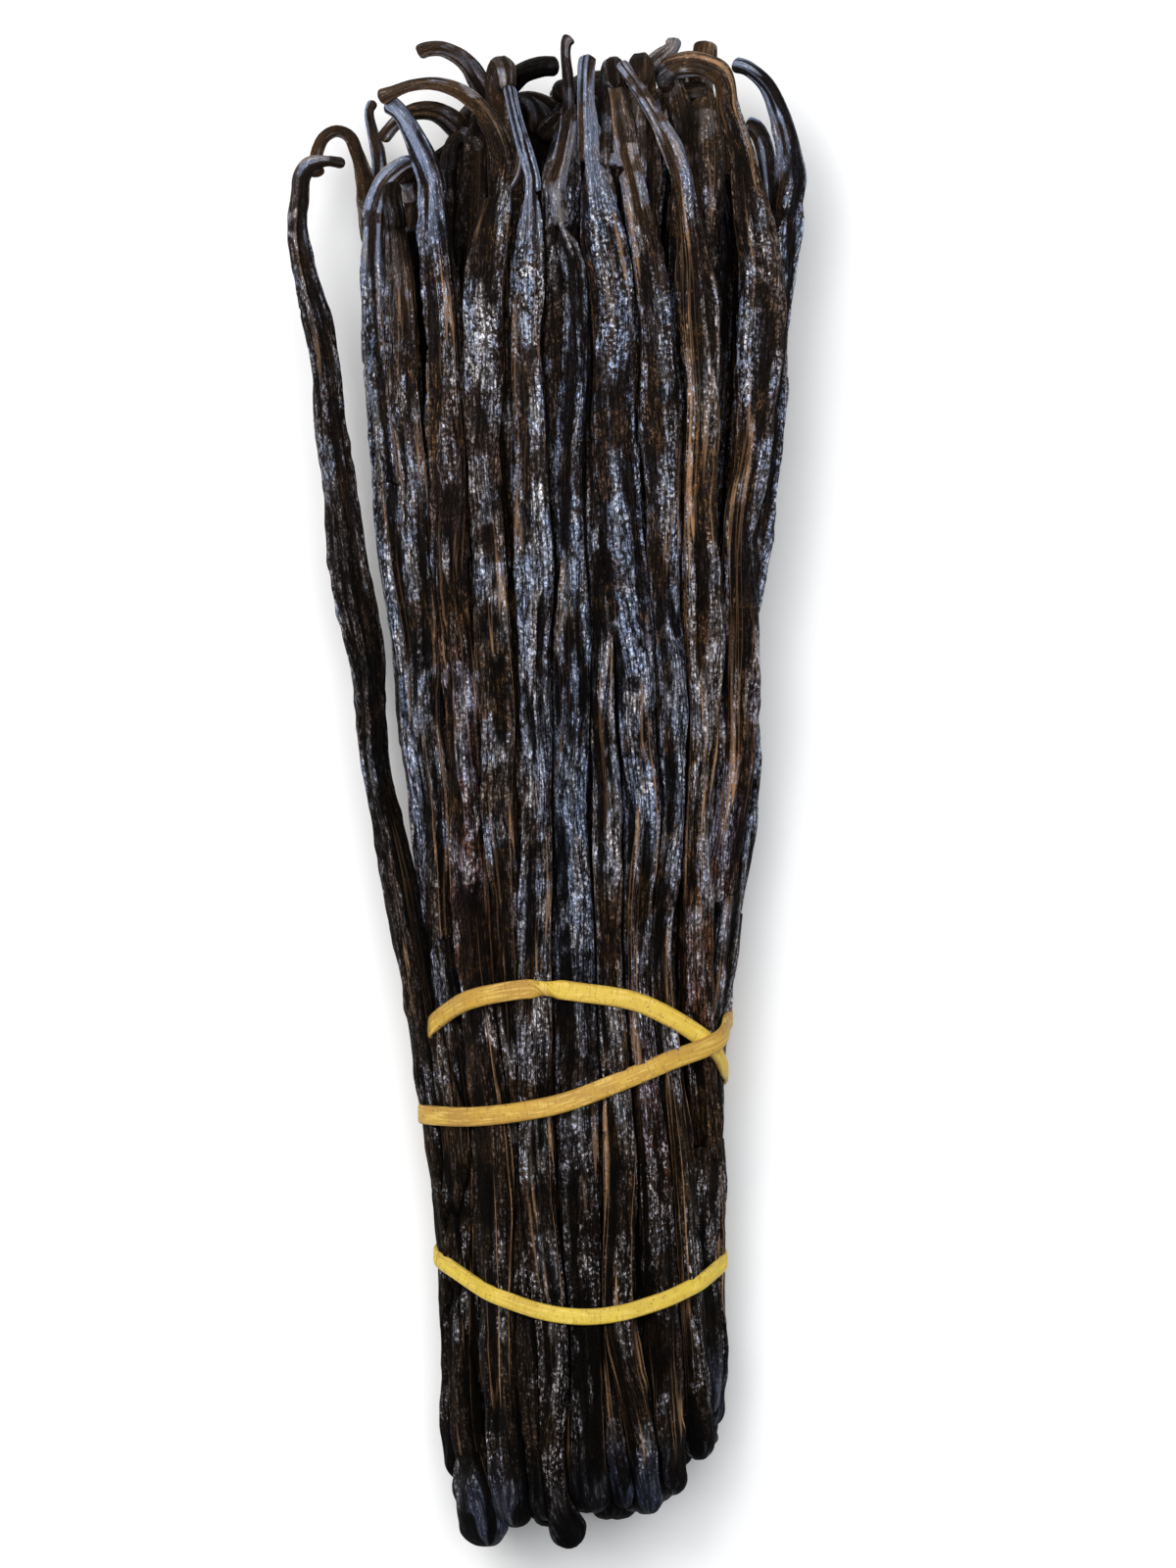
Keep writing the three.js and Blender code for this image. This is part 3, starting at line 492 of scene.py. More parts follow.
middle = pod_middle(pods[6], np.array([20, 100, 170]))
print("pod 6 runs through", middle.round(1).tolist())

# %% [markdown]
# ## Stems
# A stem leaves the body in the direction that the body has at its neck. One with a path
# runs through its given places and has a thickness at each. Any other bends round in
# an arc to a seeded side and ends in a short straight tail.

# %% Stem lines
LINE_STEP, BEND_STEP, TAIL_POINTS = 0.5, 5, 6
NECK_LENGTH, STEM_OVERLAP = 8, 1
LEAD_IN, AIM = -8, -6  # points back from the neck that set its direction


def lengths_along(points):
    return np.concatenate([[0], np.cumsum(np.linalg.norm(np.diff(points, axis=0), axis=1))])


def stem_along_path(pod, body):
    """The points of a stem with a path. The pod keeps its radii by distance from the tip."""
    path = np.array(pod.path, float)
    corners = np.vstack([body[LEAD_IN], body[-1], path[:, :3] + (0, 0, 1) * body[-1]])
    corners[2:, :2] = path[:, :2]
    reach = lengths_along(corners)
    s = np.linspace(reach[1], reach[-1], int((reach[-1] - reach[1]) / LINE_STEP) + 2)
    points = np.stack([through(list(zip(reach, corners[:, i])), s) for i in range(3)], axis=-1)
    pod.radii = [(reach[-1] - r, size) for r, size in zip(reach[:1:-1], path[::-1, 3])]
    pod.stem_length = reach[-1] - reach[1] - STEM_OVERLAP
    return points[1:]


def hooked_stem(hook, body):
    """The points of a plain stem: an arc and a short straight tail."""
    forward = unit(body[-1] - body[AIM])
    side = np.array([math.cos(hook.side * RAD), 0, math.sin(hook.side * RAD)])
    side = unit(side - side @ forward * forward)
    bent = np.linspace(0, hook.turn, max(3, int(hook.turn / BEND_STEP)))[1:, None] * RAD
    arc = body[-1] + hook.radius * np.sin(bent) * forward + hook.radius * (1 - np.cos(bent)) * side
    out = math.cos(hook.turn * RAD) * forward + math.sin(hook.turn * RAD) * side
    return np.vstack([arc, arc[-1] + out * np.linspace(0, hook.tail, TAIL_POINTS)[1:, None]])


for pod in pods:
    y = np.linspace(pod.foot, pod.neck[1], int((pod.neck[1] - pod.foot) / LINE_STEP))
    body = pod_middle(pod, y)
    pod.radii, pod.stem_length = None, NECK_LENGTH
    stem = stem_along_path(pod, body) if pod.path else hooked_stem(pod.hook, body)
    pod.points = np.vstack([body, stem])
    pod.along = lengths_along(pod.points)
    pod.length = pod.along[-1]
print("pod lengths:", round(min(p.length for p in pods)), "to",
      round(max(p.length for p in pods)), "mm")

# %% [markdown]
# ## Thickness along a pod
# The blunt end swells a little and closes round, the body keeps its width with slow lumps,
# and the stem narrows to a thin neck with a small knob at its cut tip. Both sides of a
# section come from the same few curves, so that a pod never gets a step in its outline.

# %% Thickness
NECK_RADIUS, KNOB_RADIUS, KNOB_LENGTH, TIP_ROUNDING = 1.15, 1.5, 2.6, 0.9
FOOT_ROUNDING, BULB_REACH = 2.6, 5
LUMP, LUMP_LENGTH, SMALL_LUMP, SMALL_LUMP_LENGTH = 0.09, 7, 0.03, 3.1
# Extra closeness of the stations: at the foot, at the tip and along the hook.
FOOT_CLOSER, FOOT_NEAR, TIP_CLOSER, TIP_NEAR = 4, 1.6, 5, 1.4
HOOK_CLOSER, HOOK_NEAR, HOOK_FADE = 0.8, 24, 8
TRIALS = 2000


def girth(pod, from_foot):
    """Half the width and half the depth of a pod at distances from its blunt end."""
    y = pod.foot + from_foot
    from_tip = pod.length - from_foot
    wide, deep = body_width(pod, y)
    body = smooth((from_tip - pod.stem_length) / pod.taper)
    swell = 1 + (pod.bulb - 1) * bump(from_foot - BULB_REACH, BULB_REACH)
    slow = LUMP * looseness(y) * np.sin(from_foot / LUMP_LENGTH + pod.phase)
    lump = 1 + slow + SMALL_LUMP * np.sin(from_foot / SMALL_LUMP_LENGTH + 2 * pod.phase)
    knob = (KNOB_RADIUS - NECK_RADIUS) * bump(from_tip - KNOB_LENGTH / 2, KNOB_LENGTH / 2)
    closing = rounding(from_foot / FOOT_ROUNDING) * rounding(from_tip / TIP_ROUNDING)
    neck = NECK_RADIUS + knob if pod.radii is None else through(pod.radii, from_tip)
    scale = swell * lump * closing
    return scale * (neck + (wide - neck) * body), scale * (neck + (deep - neck) * body)


def stations(pod, count):
    """Distances along a pod, closer together at both ends."""
    s = np.linspace(0, pod.length, TRIALS)
    from_tip = pod.length - s
    density = 1 + FOOT_CLOSER * bump(s, FOOT_NEAR) + TIP_CLOSER * bump(from_tip, TIP_NEAR)
    density = density + HOOK_CLOSER * smooth((s - pod.length + HOOK_NEAR) / HOOK_FADE)
    grown = np.cumsum(density)
    picked = np.linspace(grown[0], grown[-1], count + 2)[1:-1]
    return np.interp(picked, grown, s)


def sections(pod, s):
    """Middle, up and across directions, half width and half depth at distances s."""
    middle = np.stack([np.interp(s, pod.along, pod.points[:, i]) for i in range(3)], axis=-1)
    forward = unit(np.gradient(middle, s, axis=0))
    out = outline_normal(pod.foot, pod.angle)
    up = np.array([out[0], 0, out[1]])
    ups = np.empty_like(middle)
    for k, along in enumerate(forward):
        up = unit(up - up @ along * along)
        ups[k] = up
    wide, deep = girth(pod, s)
    return middle, ups, np.cross(ups, forward), wide, deep


widths = girth(pods[6], np.array([5, 80, 150]))[0]
print("pod 6 is", (2 * widths).round(1).tolist(), "mm wide near its foot, middle and neck")

# %% [markdown]
# ## Pods pressed against each other
# Neighbours in a tied bundle flatten where they touch. The shared border of two pods is
# taken as the flat line that divides the distance between their middles by their sizes,
# and each pod's skin gives way smoothly to it. This is quick and exact enough, where a
# physics simulation of fifty soft bodies would take minutes.

# %% Neighbours
GRID = np.arange(0, 201, 0.5)
PLACE, WIDE, DEEP, OUT_X, OUT_Z = slice(0, 2), 2, 3, 4, 5  # columns of a pod's rows in the grid
SEAM, FIRMNESS, NECK_FADE = 0.14, 9, 6
# Pods press only if both are thicker than this and near enough, and all keep some room.
FARTHEST, NEAREST, THINNEST, LEAST_ROOM = 9, 0.3, 0.2, 0.25
FREE = 1e6  # farther than any border
LAST_STEP = 1.001  # keeps a place on the grid just short of its last row


def on_grid(pod):
    """A pod's place and size on the common grid of heights, nothing beyond its ends."""
    body = pod.points[pod.points[:, 1] <= pod.neck[1] + TINY]
    s = np.interp(GRID, body[:, 1], pod.along[: len(body)])
    inside = (GRID >= pod.foot) & (GRID <= pod.neck[1])
    wide, deep = girth(pod, s)
    fade = smooth((pod.neck[1] - GRID) / NECK_FADE)
    out_x, out_z = outline_normal(pod.foot, pod.angle)
    x, z = (np.interp(GRID, body[:, 1], body[:, i]) for i in (0, 2))
    rows = [x, z, wide * inside * fade, deep * inside * fade, 0 * x + out_x, 0 * x + out_z]
    return np.stack(rows, axis=-1)


def support(section, toward):
    """How far a flattened round section reaches in a direction."""
    along_out = section[..., OUT_X] * toward[..., 0] + section[..., OUT_Z] * toward[..., 1]
    along_side = section[..., OUT_X] * toward[..., 1] - section[..., OUT_Z] * toward[..., 0]
    return np.hypot(section[..., DEEP] * along_out, section[..., WIDE] * along_side)


def pressed(pod, middle, offset):
    """How much each skin point is held back by the neighbours."""
    others = [p.index for p in pods if p.index != pod.index]
    at = np.clip((middle[:, 1] - GRID[0]) / (GRID[1] - GRID[0]), 0, len(GRID) - LAST_STEP)
    low, part = at.astype(int), (at % 1)[None, :, None]
    near = grid[others][:, low] * (1 - part) + grid[others][:, low + 1] * part
    own = grid[pod.index][low]
    apart = near[..., PLACE] - middle[None][..., (0, 2)]
    distance = np.maximum(np.linalg.norm(apart, axis=-1), NEAREST)
    toward = apart / distance[..., None]
    mine, theirs = support(own[None] + 0 * near, toward), support(near, toward)
    border = distance * mine / np.maximum(mine + theirs, TINY) - SEAM / 2
    active = (theirs > THINNEST) & (mine > THINNEST) & (distance < FARTHEST)
    border = np.where(active, np.maximum(border, LEAST_ROOM), FREE)
    push = np.einsum("kmc,jkc->jkm", offset[..., (0, 2)], toward)
    ratio = np.maximum(push, 0) / border[..., None]
    return (1 + (ratio**FIRMNESS).sum(axis=0)) ** (-1 / FIRMNESS)


grid = np.stack([on_grid(pod) for pod in pods])
print("grid of", len(pods), "pods at", len(GRID), "heights")

# %% [markdown]
# ## Wrinkles
# A cured pod shrinks round its fibres, which leaves a few broad ridges and many fine ones,
# all nearly along the pod. Each is a fold of a sine round the section whose place drifts
# slowly along the pod. Short crinkles cross them, and the foot dries into a few knuckles.
# Real displacement of the mesh keeps them in every view and in the export, and the finest
# ones are left to the skin's bump.

# %% Wrinkle shape
FOLDS = (((3, 4, 5), 0.34, 0.5), ((7, 9), 0.22, 0.8), ((13, 16), 0.09, 1.1))  # folds, height, drift
DRIFT_LENGTH, DRIFT_WAVES = 11, 4
FOLD_SHARPNESS, FOLD_SPAN, FOLD_SINK = 0.85, 1.7, 0.6
SWELLING, SWELLING_LENGTH = 1.4, 6
BENT, SQUEEZED, LEANING, LEAN_LENGTH = 0.22, 0.16, 1.0, 12
HIGHEST, CREST_LEVEL = 0.85, 0.35
CRINKLE, CRINKLE_LENGTH, CRINKLES_ROUND = 0.085, 1.7, 13
KNUCKLE, KNUCKLES, KNUCKLE_TWIST, KNUCKLE_SOFT = 0.7, 1.5, 0.25, 0.06
KNUCKLE_END, KNUCKLE_FADE = 5, 6
FOOT_RELIEF, FOOT_CALM_OVER = 0.6, 4
TIP_RELIEF, TIP_CALM_FROM, TIP_CALM_OVER = 0.4, 5, 14
ANYWHERE = (0, 6.28)  # the start of a wave, in radians
WAVE_SIZES, WAVE_LENGTHS = (0.4, 1), (0.5, 1.6)
JUST_OVER = 1.001


def drift(chance, s, size, length):
    """A slow random wave along a pod."""
    return sum(
        size * chance.uniform(*WAVE_SIZES)
        * np.sin(s / (length * chance.uniform(*WAVE_LENGTHS)) + chance.uniform(*ANYWHERE))
        for _ in range(DRIFT_WAVES)
    )


def blend_weights(places, count, whole):
    """Shares of an even row of values at each place, for smooth random relief."""
    at = np.asarray(places) / whole * count
    low = np.floor(at).astype(int)
    part = smooth(at - low)
    weights = np.zeros((len(at), count))
    np.add.at(weights, (np.arange(len(at)), low % count), 1 - part)
    np.add.at(weights, (np.arange(len(at)), (low + 1) % count), part)
    return weights


def wrinkles(pod, s, turn):
    """Height of the skin above its smooth form, and how much each point is a crest."""
    chance = pod.chance
    relief = np.zeros((len(s), len(turn)))
    for counts, height, wander in FOLDS:
        for count in counts:
            place = count * turn[None] + chance.uniform(*ANYWHERE)
            place = place + drift(chance, s, wander, DRIFT_LENGTH)[:, None]
            swelling = drift(chance, s, SWELLING, SWELLING_LENGTH) + chance.uniform(*ANYWHERE)
            strength = 0.5 + 0.5 * np.sin(swelling)
            fold = 1 - np.abs(np.sin(place / 2)) ** FOLD_SHARPNESS
            relief += height * strength[:, None] * (fold * FOLD_SPAN - FOLD_SINK)
    lean = drift(chance, s, LEANING, LEAN_LENGTH)[:, None]
    relief += BENT * np.cos(turn[None] - lean) + SQUEEZED * np.cos(2 * turn[None] + 2 * lean)
    cells = (int(pod.length / CRINKLE_LENGTH), CRINKLES_ROUND)
    heights = chance.standard_normal(cells)
    along = blend_weights(s, cells[0], pod.length * JUST_OVER)
    around = blend_weights(turn, cells[1], 2 * math.pi)
    relief += CRINKLE * along @ heights @ around.T
    crest = np.clip(relief / HIGHEST + CREST_LEVEL, 0, 1)
    place = KNUCKLES * turn[None] + KNUCKLE_TWIST * s[:, None] + chance.uniform(*ANYWHERE)
    knuckle = np.sqrt(np.sin(place) ** 2 + KNUCKLE_SOFT)
    relief += KNUCKLE * (0.5 - knuckle) * (1 - smooth((s - KNUCKLE_END) / KNUCKLE_FADE))[:, None]
    at_foot = FOOT_RELIEF + (1 - FOOT_RELIEF) * smooth(s / FOOT_CALM_OVER)
    from_tip = smooth((pod.length - s - TIP_CALM_FROM) / TIP_CALM_OVER)
    return relief * (at_foot * (TIP_RELIEF + (1 - TIP_RELIEF) * from_tip))[:, None], crest


print("folds round a pod:", [counts for counts, _, _ in FOLDS])

# %% [markdown]
# ## How each pod looks
# No two pods in a bundle have quite the same colour. Some are bluish, partly in their own
# colour and partly in the cooler, more frequent painted glints on their oil, others brown,
# a few have a reddish stretch, and those that lie deeper get less light, as painted shade.
# The shader can't know one pod from the next, so these shares are worked out here for
# every point and kept as attributes of the mesh, which the finish and the export can both read.

# %% Looks
# blue and brown are shares along the body, stem_blue and stem_brown those at the stem,
# foot_blue that of the foot. shine is the share of light and dark_tip the length of a
# curled tip that lies in the dark. red gives the place and reach of a reddish stretch.
LOOKS = {
    0: dict(blue=0.5, stem_blue=0.6, brown=0.05, stem_brown=0.15, shine=0.75),
    1: dict(blue=0.9, stem_blue=1.2, brown=0.2, stem_brown=0.4),
    2: dict(blue=0.6, foot_blue=0.7, brown=0.5, stem_brown=0.2, shine=0.85, dark_tip=9),
    3: dict(blue=0.6, stem_blue=1.5, foot_blue=0.4, brown=0.6, stem_brown=0.1, red=(100, 30)),
    4: dict(blue=0.45, brown=0.5, stem_brown=0.7, shine=0.85),
    5: dict(blue=0.6, stem_blue=1.5, brown=0.3, stem_brown=0.2),
    6: dict(blue=1.0, brown=0, shine=0.68),
    7: dict(blue=0.9, stem_blue=1.1, brown=0.5, stem_brown=0.4, red=(62, 14)),
    8: dict(blue=0.75, brown=0.6, stem_brown=0.35),
    9: dict(blue=0.3, stem_blue=0.7, foot_blue=0.8, brown=1.0, stem_brown=0.7, red=(78, 12)),
    10: dict(blue=0.7, stem_blue=0.3, foot_blue=1, brown=0.8, stem_brown=1.0, dark_tip=11,
             red=(100, 22)),
    11: dict(blue=1.0, stem_blue=1.5, foot_blue=1, brown=0.1, stem_brown=0.05),
    12: dict(blue=0.5, foot_blue=0.6, brown=0.6),
    13: dict(blue=0.8, stem_blue=1, brown=0.3, stem_brown=0.2),
    23: dict(blue=0.7, stem_blue=1, stem_brown=0.4),
    24: dict(blue=0.1, stem_blue=0, stem_brown=1.0, shine=0.6),
    25: dict(blue=0.9, brown=0.4, shine=0.6),
    26: dict(blue=0.1, stem_blue=0, stem_brown=1.0, shine=0.8),
    27: dict(stem_brown=0.2),
    28: dict(stem_brown=0.2),
    29: dict(stem_brown=0.1, shine=0.5),
    30: dict(stem_brown=0.3),
    31: dict(blue=0.15, stem_blue=0.4, stem_brown=0.6, shine=0.7),
    32: dict(blue=0.05, stem_blue=0.2, stem_brown=0.9),
    33: dict(shine=0.4),
    43: dict(blue=1.0, brown=0.3, shine=0.4),
    44: dict(foot_blue=0.7, stem_brown=0.3, shine=0.4),
    45: dict(blue=0.2, stem_brown=0.8, dark_tip=4),
    53: dict(stem_brown=0.2, shine=0.35),
}
# Hollows between the hooks, where the inner pods get painted shade: x, y, and how far each reaches
# in x and y.
HOLLOWS = [(14.5, 188, 5.5, 5.5), (-4.5, 188, 4.5, 6), (-23.7, 177, 3, 7), (-17, 182, 3, 5)]
NO_RED, NO_DARK_TIP = (0, 1), -9
HUE_STEP = 0.37
USUAL_BLUE, USUAL_STEM_BLUE, FOOT_BLUE_SHARE = 0.6, 0.3, 0.15
BLUE_START, BLUE_LENGTH, FOOT_END, FOOT_FADE = 25, 80, 8, 6
STEM_BEFORE, STEM_FADE = 14, 10
# Painted light by height: little at the feet, more at the bands, most at the hooks.
FOOT_LIT, BAND_LIT, HEAD_LIT = 0.14, 0.86, 0.55
LIT_START, LIT_LENGTH, HEAD_START, HEAD_LENGTH = 30, 82, 112, 45
BURIED_FROM, BURIED_OVER, DARKENING, TIP_FADE = 2.5, 7, 0.85, 3
OILY, FIRST_OIL_SEED = 0.04, 900
GRAIN_RADIUS, GRAIN_SHIFT = 2.5, 37.7


def tint_of(pod, along):
    """How blue, how red and how brown a pod is at distances along it. Blue also makes its painted
    glints cooler and more frequent.
    """
    look = LOOKS.get(pod.index, {})
    plain = pod.index * HUE_STEP % 1
    y = along + pod.foot
    middle, reach = look.get("red", NO_RED)
    stem = smooth((along - pod.length + pod.stem_length + STEM_BEFORE) / STEM_FADE)
    higher = FOOT_BLUE_SHARE + (1 - FOOT_BLUE_SHARE) * smooth((y - BLUE_START) / BLUE_LENGTH)
    blue = look.get("blue", plain * USUAL_BLUE) * higher
    blue = blue + (look.get("stem_blue", USUAL_STEM_BLUE) - blue) * stem
    at_foot = 1 - smooth((along - FOOT_END) / FOOT_FADE)
    blue = np.maximum(blue, look.get("foot_blue", 0) * at_foot)
    brown = look.get("brown", 1 - plain) * (1 - stem) + look.get("stem_brown", plain) * stem
    return np.stack([blue, bump(y - middle, reach), brown], axis=-1)


# Painted light by height, growing lighter from the feet to the hooks.
def painted_light_at(y):
    to_bands = BAND_LIT * smooth((y - LIT_START) / LIT_LENGTH)
    return FOOT_LIT + to_bands + HEAD_LIT * smooth((y - HEAD_START) / HEAD_LENGTH)


def shine_of(pod, along, points):
    """The share of light a pod gets, less where it is buried or curls into the dark."""
    look = LOOKS.get(pod.index, {})
    x, y, z = points.T
    below = surface_height(x, np.minimum(y, FAN_END), 0) - z
    buried = smooth((below - BURIED_FROM) / BURIED_OVER) if pod.share < 1 else 0 * below
    hollow = sum(bump(x - at_x, wide) * bump(y - at_y, high) for at_x, at_y, wide, high in HOLLOWS)
    buried = np.clip(np.maximum(buried, hollow * (pod.share < 1)), 0, 1)
    curled = smooth((look.get("dark_tip", NO_DARK_TIP) - pod.length + along) / TIP_FADE)
    return look.get("shine", 1) * (1 - DARKENING * buried) * (1 - DARKENING * curled)


def marks_of(pod, points, along, angle, crest):
    """What the finish reads at each point of a pod's skin."""
    y = along + pod.foot
    oily = np.random.default_rng(FIRST_OIL_SEED + pod.index).uniform(-OILY, OILY)
    grain = [GRAIN_RADIUS * np.cos(angle), GRAIN_RADIUS * np.sin(angle),
             along + pod.index * GRAIN_SHIFT]
    return {
        "grain": np.stack(grain, axis=-1),
        # The third of the ends is the painted light by height.
        "ends": np.stack([along, pod.length - along, painted_light_at(y)], axis=-1),
        "tint": tint_of(pod, along),
        # relief holds the crests, the share of light painted into the colour, and the oil offset.
        "relief": np.stack([crest, shine_of(pod, along, points), oily + 0 * y], axis=-1),
    }


print("clean at foot, bands and hooks:", [round(float(painted_light_at(y)), 2) for y in (5, 60, 180)])

# %% [markdown]
# ## From sections to skin
# A sphere's mesh has what a pod needs: rings of points and one pole at each end. So a
# plain sphere is made once with the operator, its rings and columns are read off, and a
# copy of it is laid along every pod. Operators may list the faces of a mesh in another
# order each time, so they are sorted, and the result stays the same on every run.

# %% Skins
FLOOR = 0.03  # how far the skin stays above the table
FULL_RELIEF_FROM, TIED_CALM = 1.2, 0.85
CALM_PASSES, CALM_END, CALM_FADE = 6, 8, 5
# Crests that neighbours press get painted shade, down to a share SHADED of their light.
SHADED, OPEN_FROM, OPEN_OVER = 0.1, 0.72, 0.25


def faces_of(bm):
    """The faces by the numbers of their corners, in the same order on every run."""
    faces = []
    for face in bm.faces:
        corners = [v.index for v in face.verts]
        first = corners.index(min(corners))
        faces.append(corners[first:] + corners[:first])
    return sorted(faces)


def sphere_template(sides, rings):
    """The ring and the column of each point of a sphere, and its faces."""
    bm = bmesh.new()
    bmesh.ops.create_uvsphere(bm, u_segments=sides, v_segments=rings + 1, radius=1)
    ball = np.array([v.co for v in bm.verts])
    row = np.rint(np.arccos(np.clip(ball[:, 2], -1, 1)) / math.pi * (rings + 1)).astype(int)
    turns = np.arctan2(ball[:, 1], ball[:, 0]) / (2 * math.pi)
    column = np.rint(turns * sides).astype(int) % sides
    faces = faces_of(bm)
    bm.free()
    return row, column, faces


def calmed_near_feet(held, s):
    """Evens out how far the skin is held back where the neighbours have not begun."""
    calm = held.copy()
    for _ in range(CALM_PASSES):
        calm[1:-1] = (calm[:-2] + 2 * calm[1:-1] + calm[2:]) / 4
    return held + (calm - held) * (1 - smooth((s - CALM_END) / CALM_FADE))[:, None]


def skin_rings(pod, s, turn):
    """Rings of skin points round a pod, and how much each is an open crest, with painted shade
    where a neighbour presses.
    """
    middle, up, across, wide, deep = sections(pod, s)
    offset = (deep[:, None] * np.cos(turn))[..., None] * up[:, None]
    offset = offset + (wide[:, None] * np.sin(turn))[..., None] * across[:, None]
    height, crest = wrinkles(pod, s, turn)
    length = np.maximum(np.linalg.norm(offset, axis=-1), TINY)
    room = np.minimum(length / FULL_RELIEF_FROM, 1)
    tied = dent(pod.angle, pod.foot + s) / DENT if pod.share == 1 else 0 * s
    ironed = (1 - TIED_CALM * np.clip(tied, 0, 1))[:, None]
    offset = offset * (1 + height * room * ironed / length)[..., None]
    held = calmed_near_feet(pressed(pod, middle, offset), s)
    seen = SHADED + (1 - SHADED) * smooth((held - OPEN_FROM) / OPEN_OVER)
    return middle[:, None] + offset * held[..., None], crest * seen


def skin_of(pod, sides, rings, template):
    row, column, _ = template
    s = stations(pod, rings)
    turn = np.arange(sides) / sides * 2 * math.pi
    ring, crest = skin_rings(pod, s, turn)
    inner = np.clip(row - 1, 0, rings - 1)
    at_foot, at_tip = row == 0, row == rings + 1
    points = ring[inner, column]
    points[at_foot], points[at_tip] = pod.points[0], pod.points[-1]
    points[:, 2] = np.maximum(points[:, 2], FLOOR)
    along = np.where(at_foot, 0, np.where(at_tip, pod.length, s[inner]))
    return points, marks_of(pod, points, along, turn[column], crest[inner, column])


row, _, faces = sphere_template(8, 5)
print("a small sphere has rows", sorted(set(row.tolist())), "and", len(faces), "faces")

# %% [markdown]
# ## Pods as pieces
# The pods are joined as arrays and become five pieces, since fifty objects would only be
# slower to handle. Those in front get the finest mesh, and the hidden ones a plainer one.
# Each is turned right side out by the sign of its volume, which is quicker to find than
# to ask Blender for the normals of half a million faces.

# %% Joined pods
ORIGIN = np.array([-4.63, 100.65, 0])  # where the frame has its own origin
FRONT_LEFT, FRONT_RIGHT = (0, 1, 2, 3, 4, 5, 53), (6, 7, 8, 9, 10, 12, 44)
SIDES, RINGS = 42, 330
PLAIN_SIDES, OUTER_RINGS, HIDDEN_RINGS = 28, 230, 180
SAMPLED = 9  # every ninth face is enough to tell inside from outside


def volume_of(points, faces):
    total = 0
    for face in faces:
        a, b, c = points[face[0]], points[face[1]], points[face[2]]
        total += a @ np.cross(b, c)
        if len(face) == 4:
            total += a @ np.cross(c, points[face[3]])
    return total / 6


def facing_out(points, faces, every=1):
    return faces if volume_of(points, faces[::every]) > 0 else [f[::-1] for f in faces]


def object_from(name, points, faces, fields):
    mesh = bpy.data.meshes.new(name)
    mesh.from_pydata(((points - ORIGIN) * MM).tolist(), [], faces)
    for field, values in fields.items():
        marks = mesh.attributes.new(field, "FLOAT_VECTOR", "POINT")
        marks.data.foreach_set("vector", values.astype(np.float32).ravel())
    mesh.polygons.foreach_set("use_smooth", np.ones(len(mesh.polygons), bool))
    mesh.update()
    piece = bpy.data.objects.new(name, mesh)
    bpy.context.scene.collection.objects.link(piece)
    return piece


def joined_pods(name, group, sides, rings):
    template = sphere_template(sides, rings)
    points, faces, fields, start = [], [], {}, 0
    for pod in group:
        skin, marks = skin_of(pod, sides, rings, template)
        faces += [[v + start for v in f] for f in facing_out(skin, template[2], SAMPLED)]
        points.append(skin)
        for field, values in marks.items():
            fields.setdefault(field, []).append(values)
        start += len(skin)
    joined = {field: np.concatenate(values) for field, values in fields.items()}
    print(name, len(group), "pods,", sum(len(f) - 2 for f in faces), "triangles")
    return object_from(name, np.vstack(points), faces, joined)


front_left = joined_pods("pods_front_left", [pods[i] for i in FRONT_LEFT], SIDES, RINGS)
front_right = joined_pods("pods_front_right", [pods[i] for i in FRONT_RIGHT], SIDES, RINGS)
others = [p for p in pods if p.index not in FRONT_LEFT + FRONT_RIGHT]
under, inner = [p for p in others if p.share == 1], [p for p in others if p.share < 1]
outer = joined_pods("pods_under", under, PLAIN_SIDES, OUTER_RINGS)
inner_left = joined_pods("pods_inner_a", inner[::2], PLAIN_SIDES, HIDDEN_RINGS)
inner_right = joined_pods("pods_inner_b", inner[1::2], PLAIN_SIDES, HIDDEN_RINGS)

# %% [markdown]
# ## The core
# Between the pods one sees only darkness. A smooth dark body well inside the outer ring
# makes sure that no light comes through from behind, wherever two pods part.

# %% Core
CORE_START, CORE_END, CORE_INSET, CORE_SIDES, CORE_RINGS = 24, 180, 6, 48, 60
CORE_SLIMMER, SLIMMER_FROM, SLIMMER_OVER = 0.5, 130, 50
FOOT_CLOSES, HEAD_CLOSES = 12, 8


def core():
    row, column, faces = sphere_template(CORE_SIDES, CORE_RINGS)
    step = np.clip((row - 1) / (CORE_RINGS - 1), 0, 1)
    y = CORE_START + (CORE_END - CORE_START) * step
    share = 1 - CORE_SLIMMER * smooth((y - SLIMMER_FROM) / SLIMMER_OVER)
    share = share * rounding(step * FOOT_CLOSES) * rounding((1 - step) * HEAD_CLOSES)
    x, z = outline_point(y, column * 360 / CORE_SIDES, CORE_INSET, share)
    points = np.stack([x, y, z], axis=-1)
    return object_from("bundle_core", points, facing_out(points, faces), {})


core_body = core()
print("core of", len(core_body.data.polygons), "faces")

# %% [markdown]
# ## Where a tight band lies
# Stretched rubber goes straight from one bulge to the next. So at each place round the
# bundle, straight lines at many slants are laid against the pods from outside, and the
# band takes the one that comes nearest to the middle. A cloth simulation could pull it
# tight too, but it would have to settle over many frames first.

# %% Band path
BAND_THICKNESS, BEARING = 0.85, 0.12
FEELER_STEP, FEELER_REACH = 3, 60
SOFTENED, SOFTNESS = 8, 1.6
OUTER = [p.index for p in pods if p.share == 1]
STRAY = 0  # the pod that leaves the bundle, which only part of the upper band holds


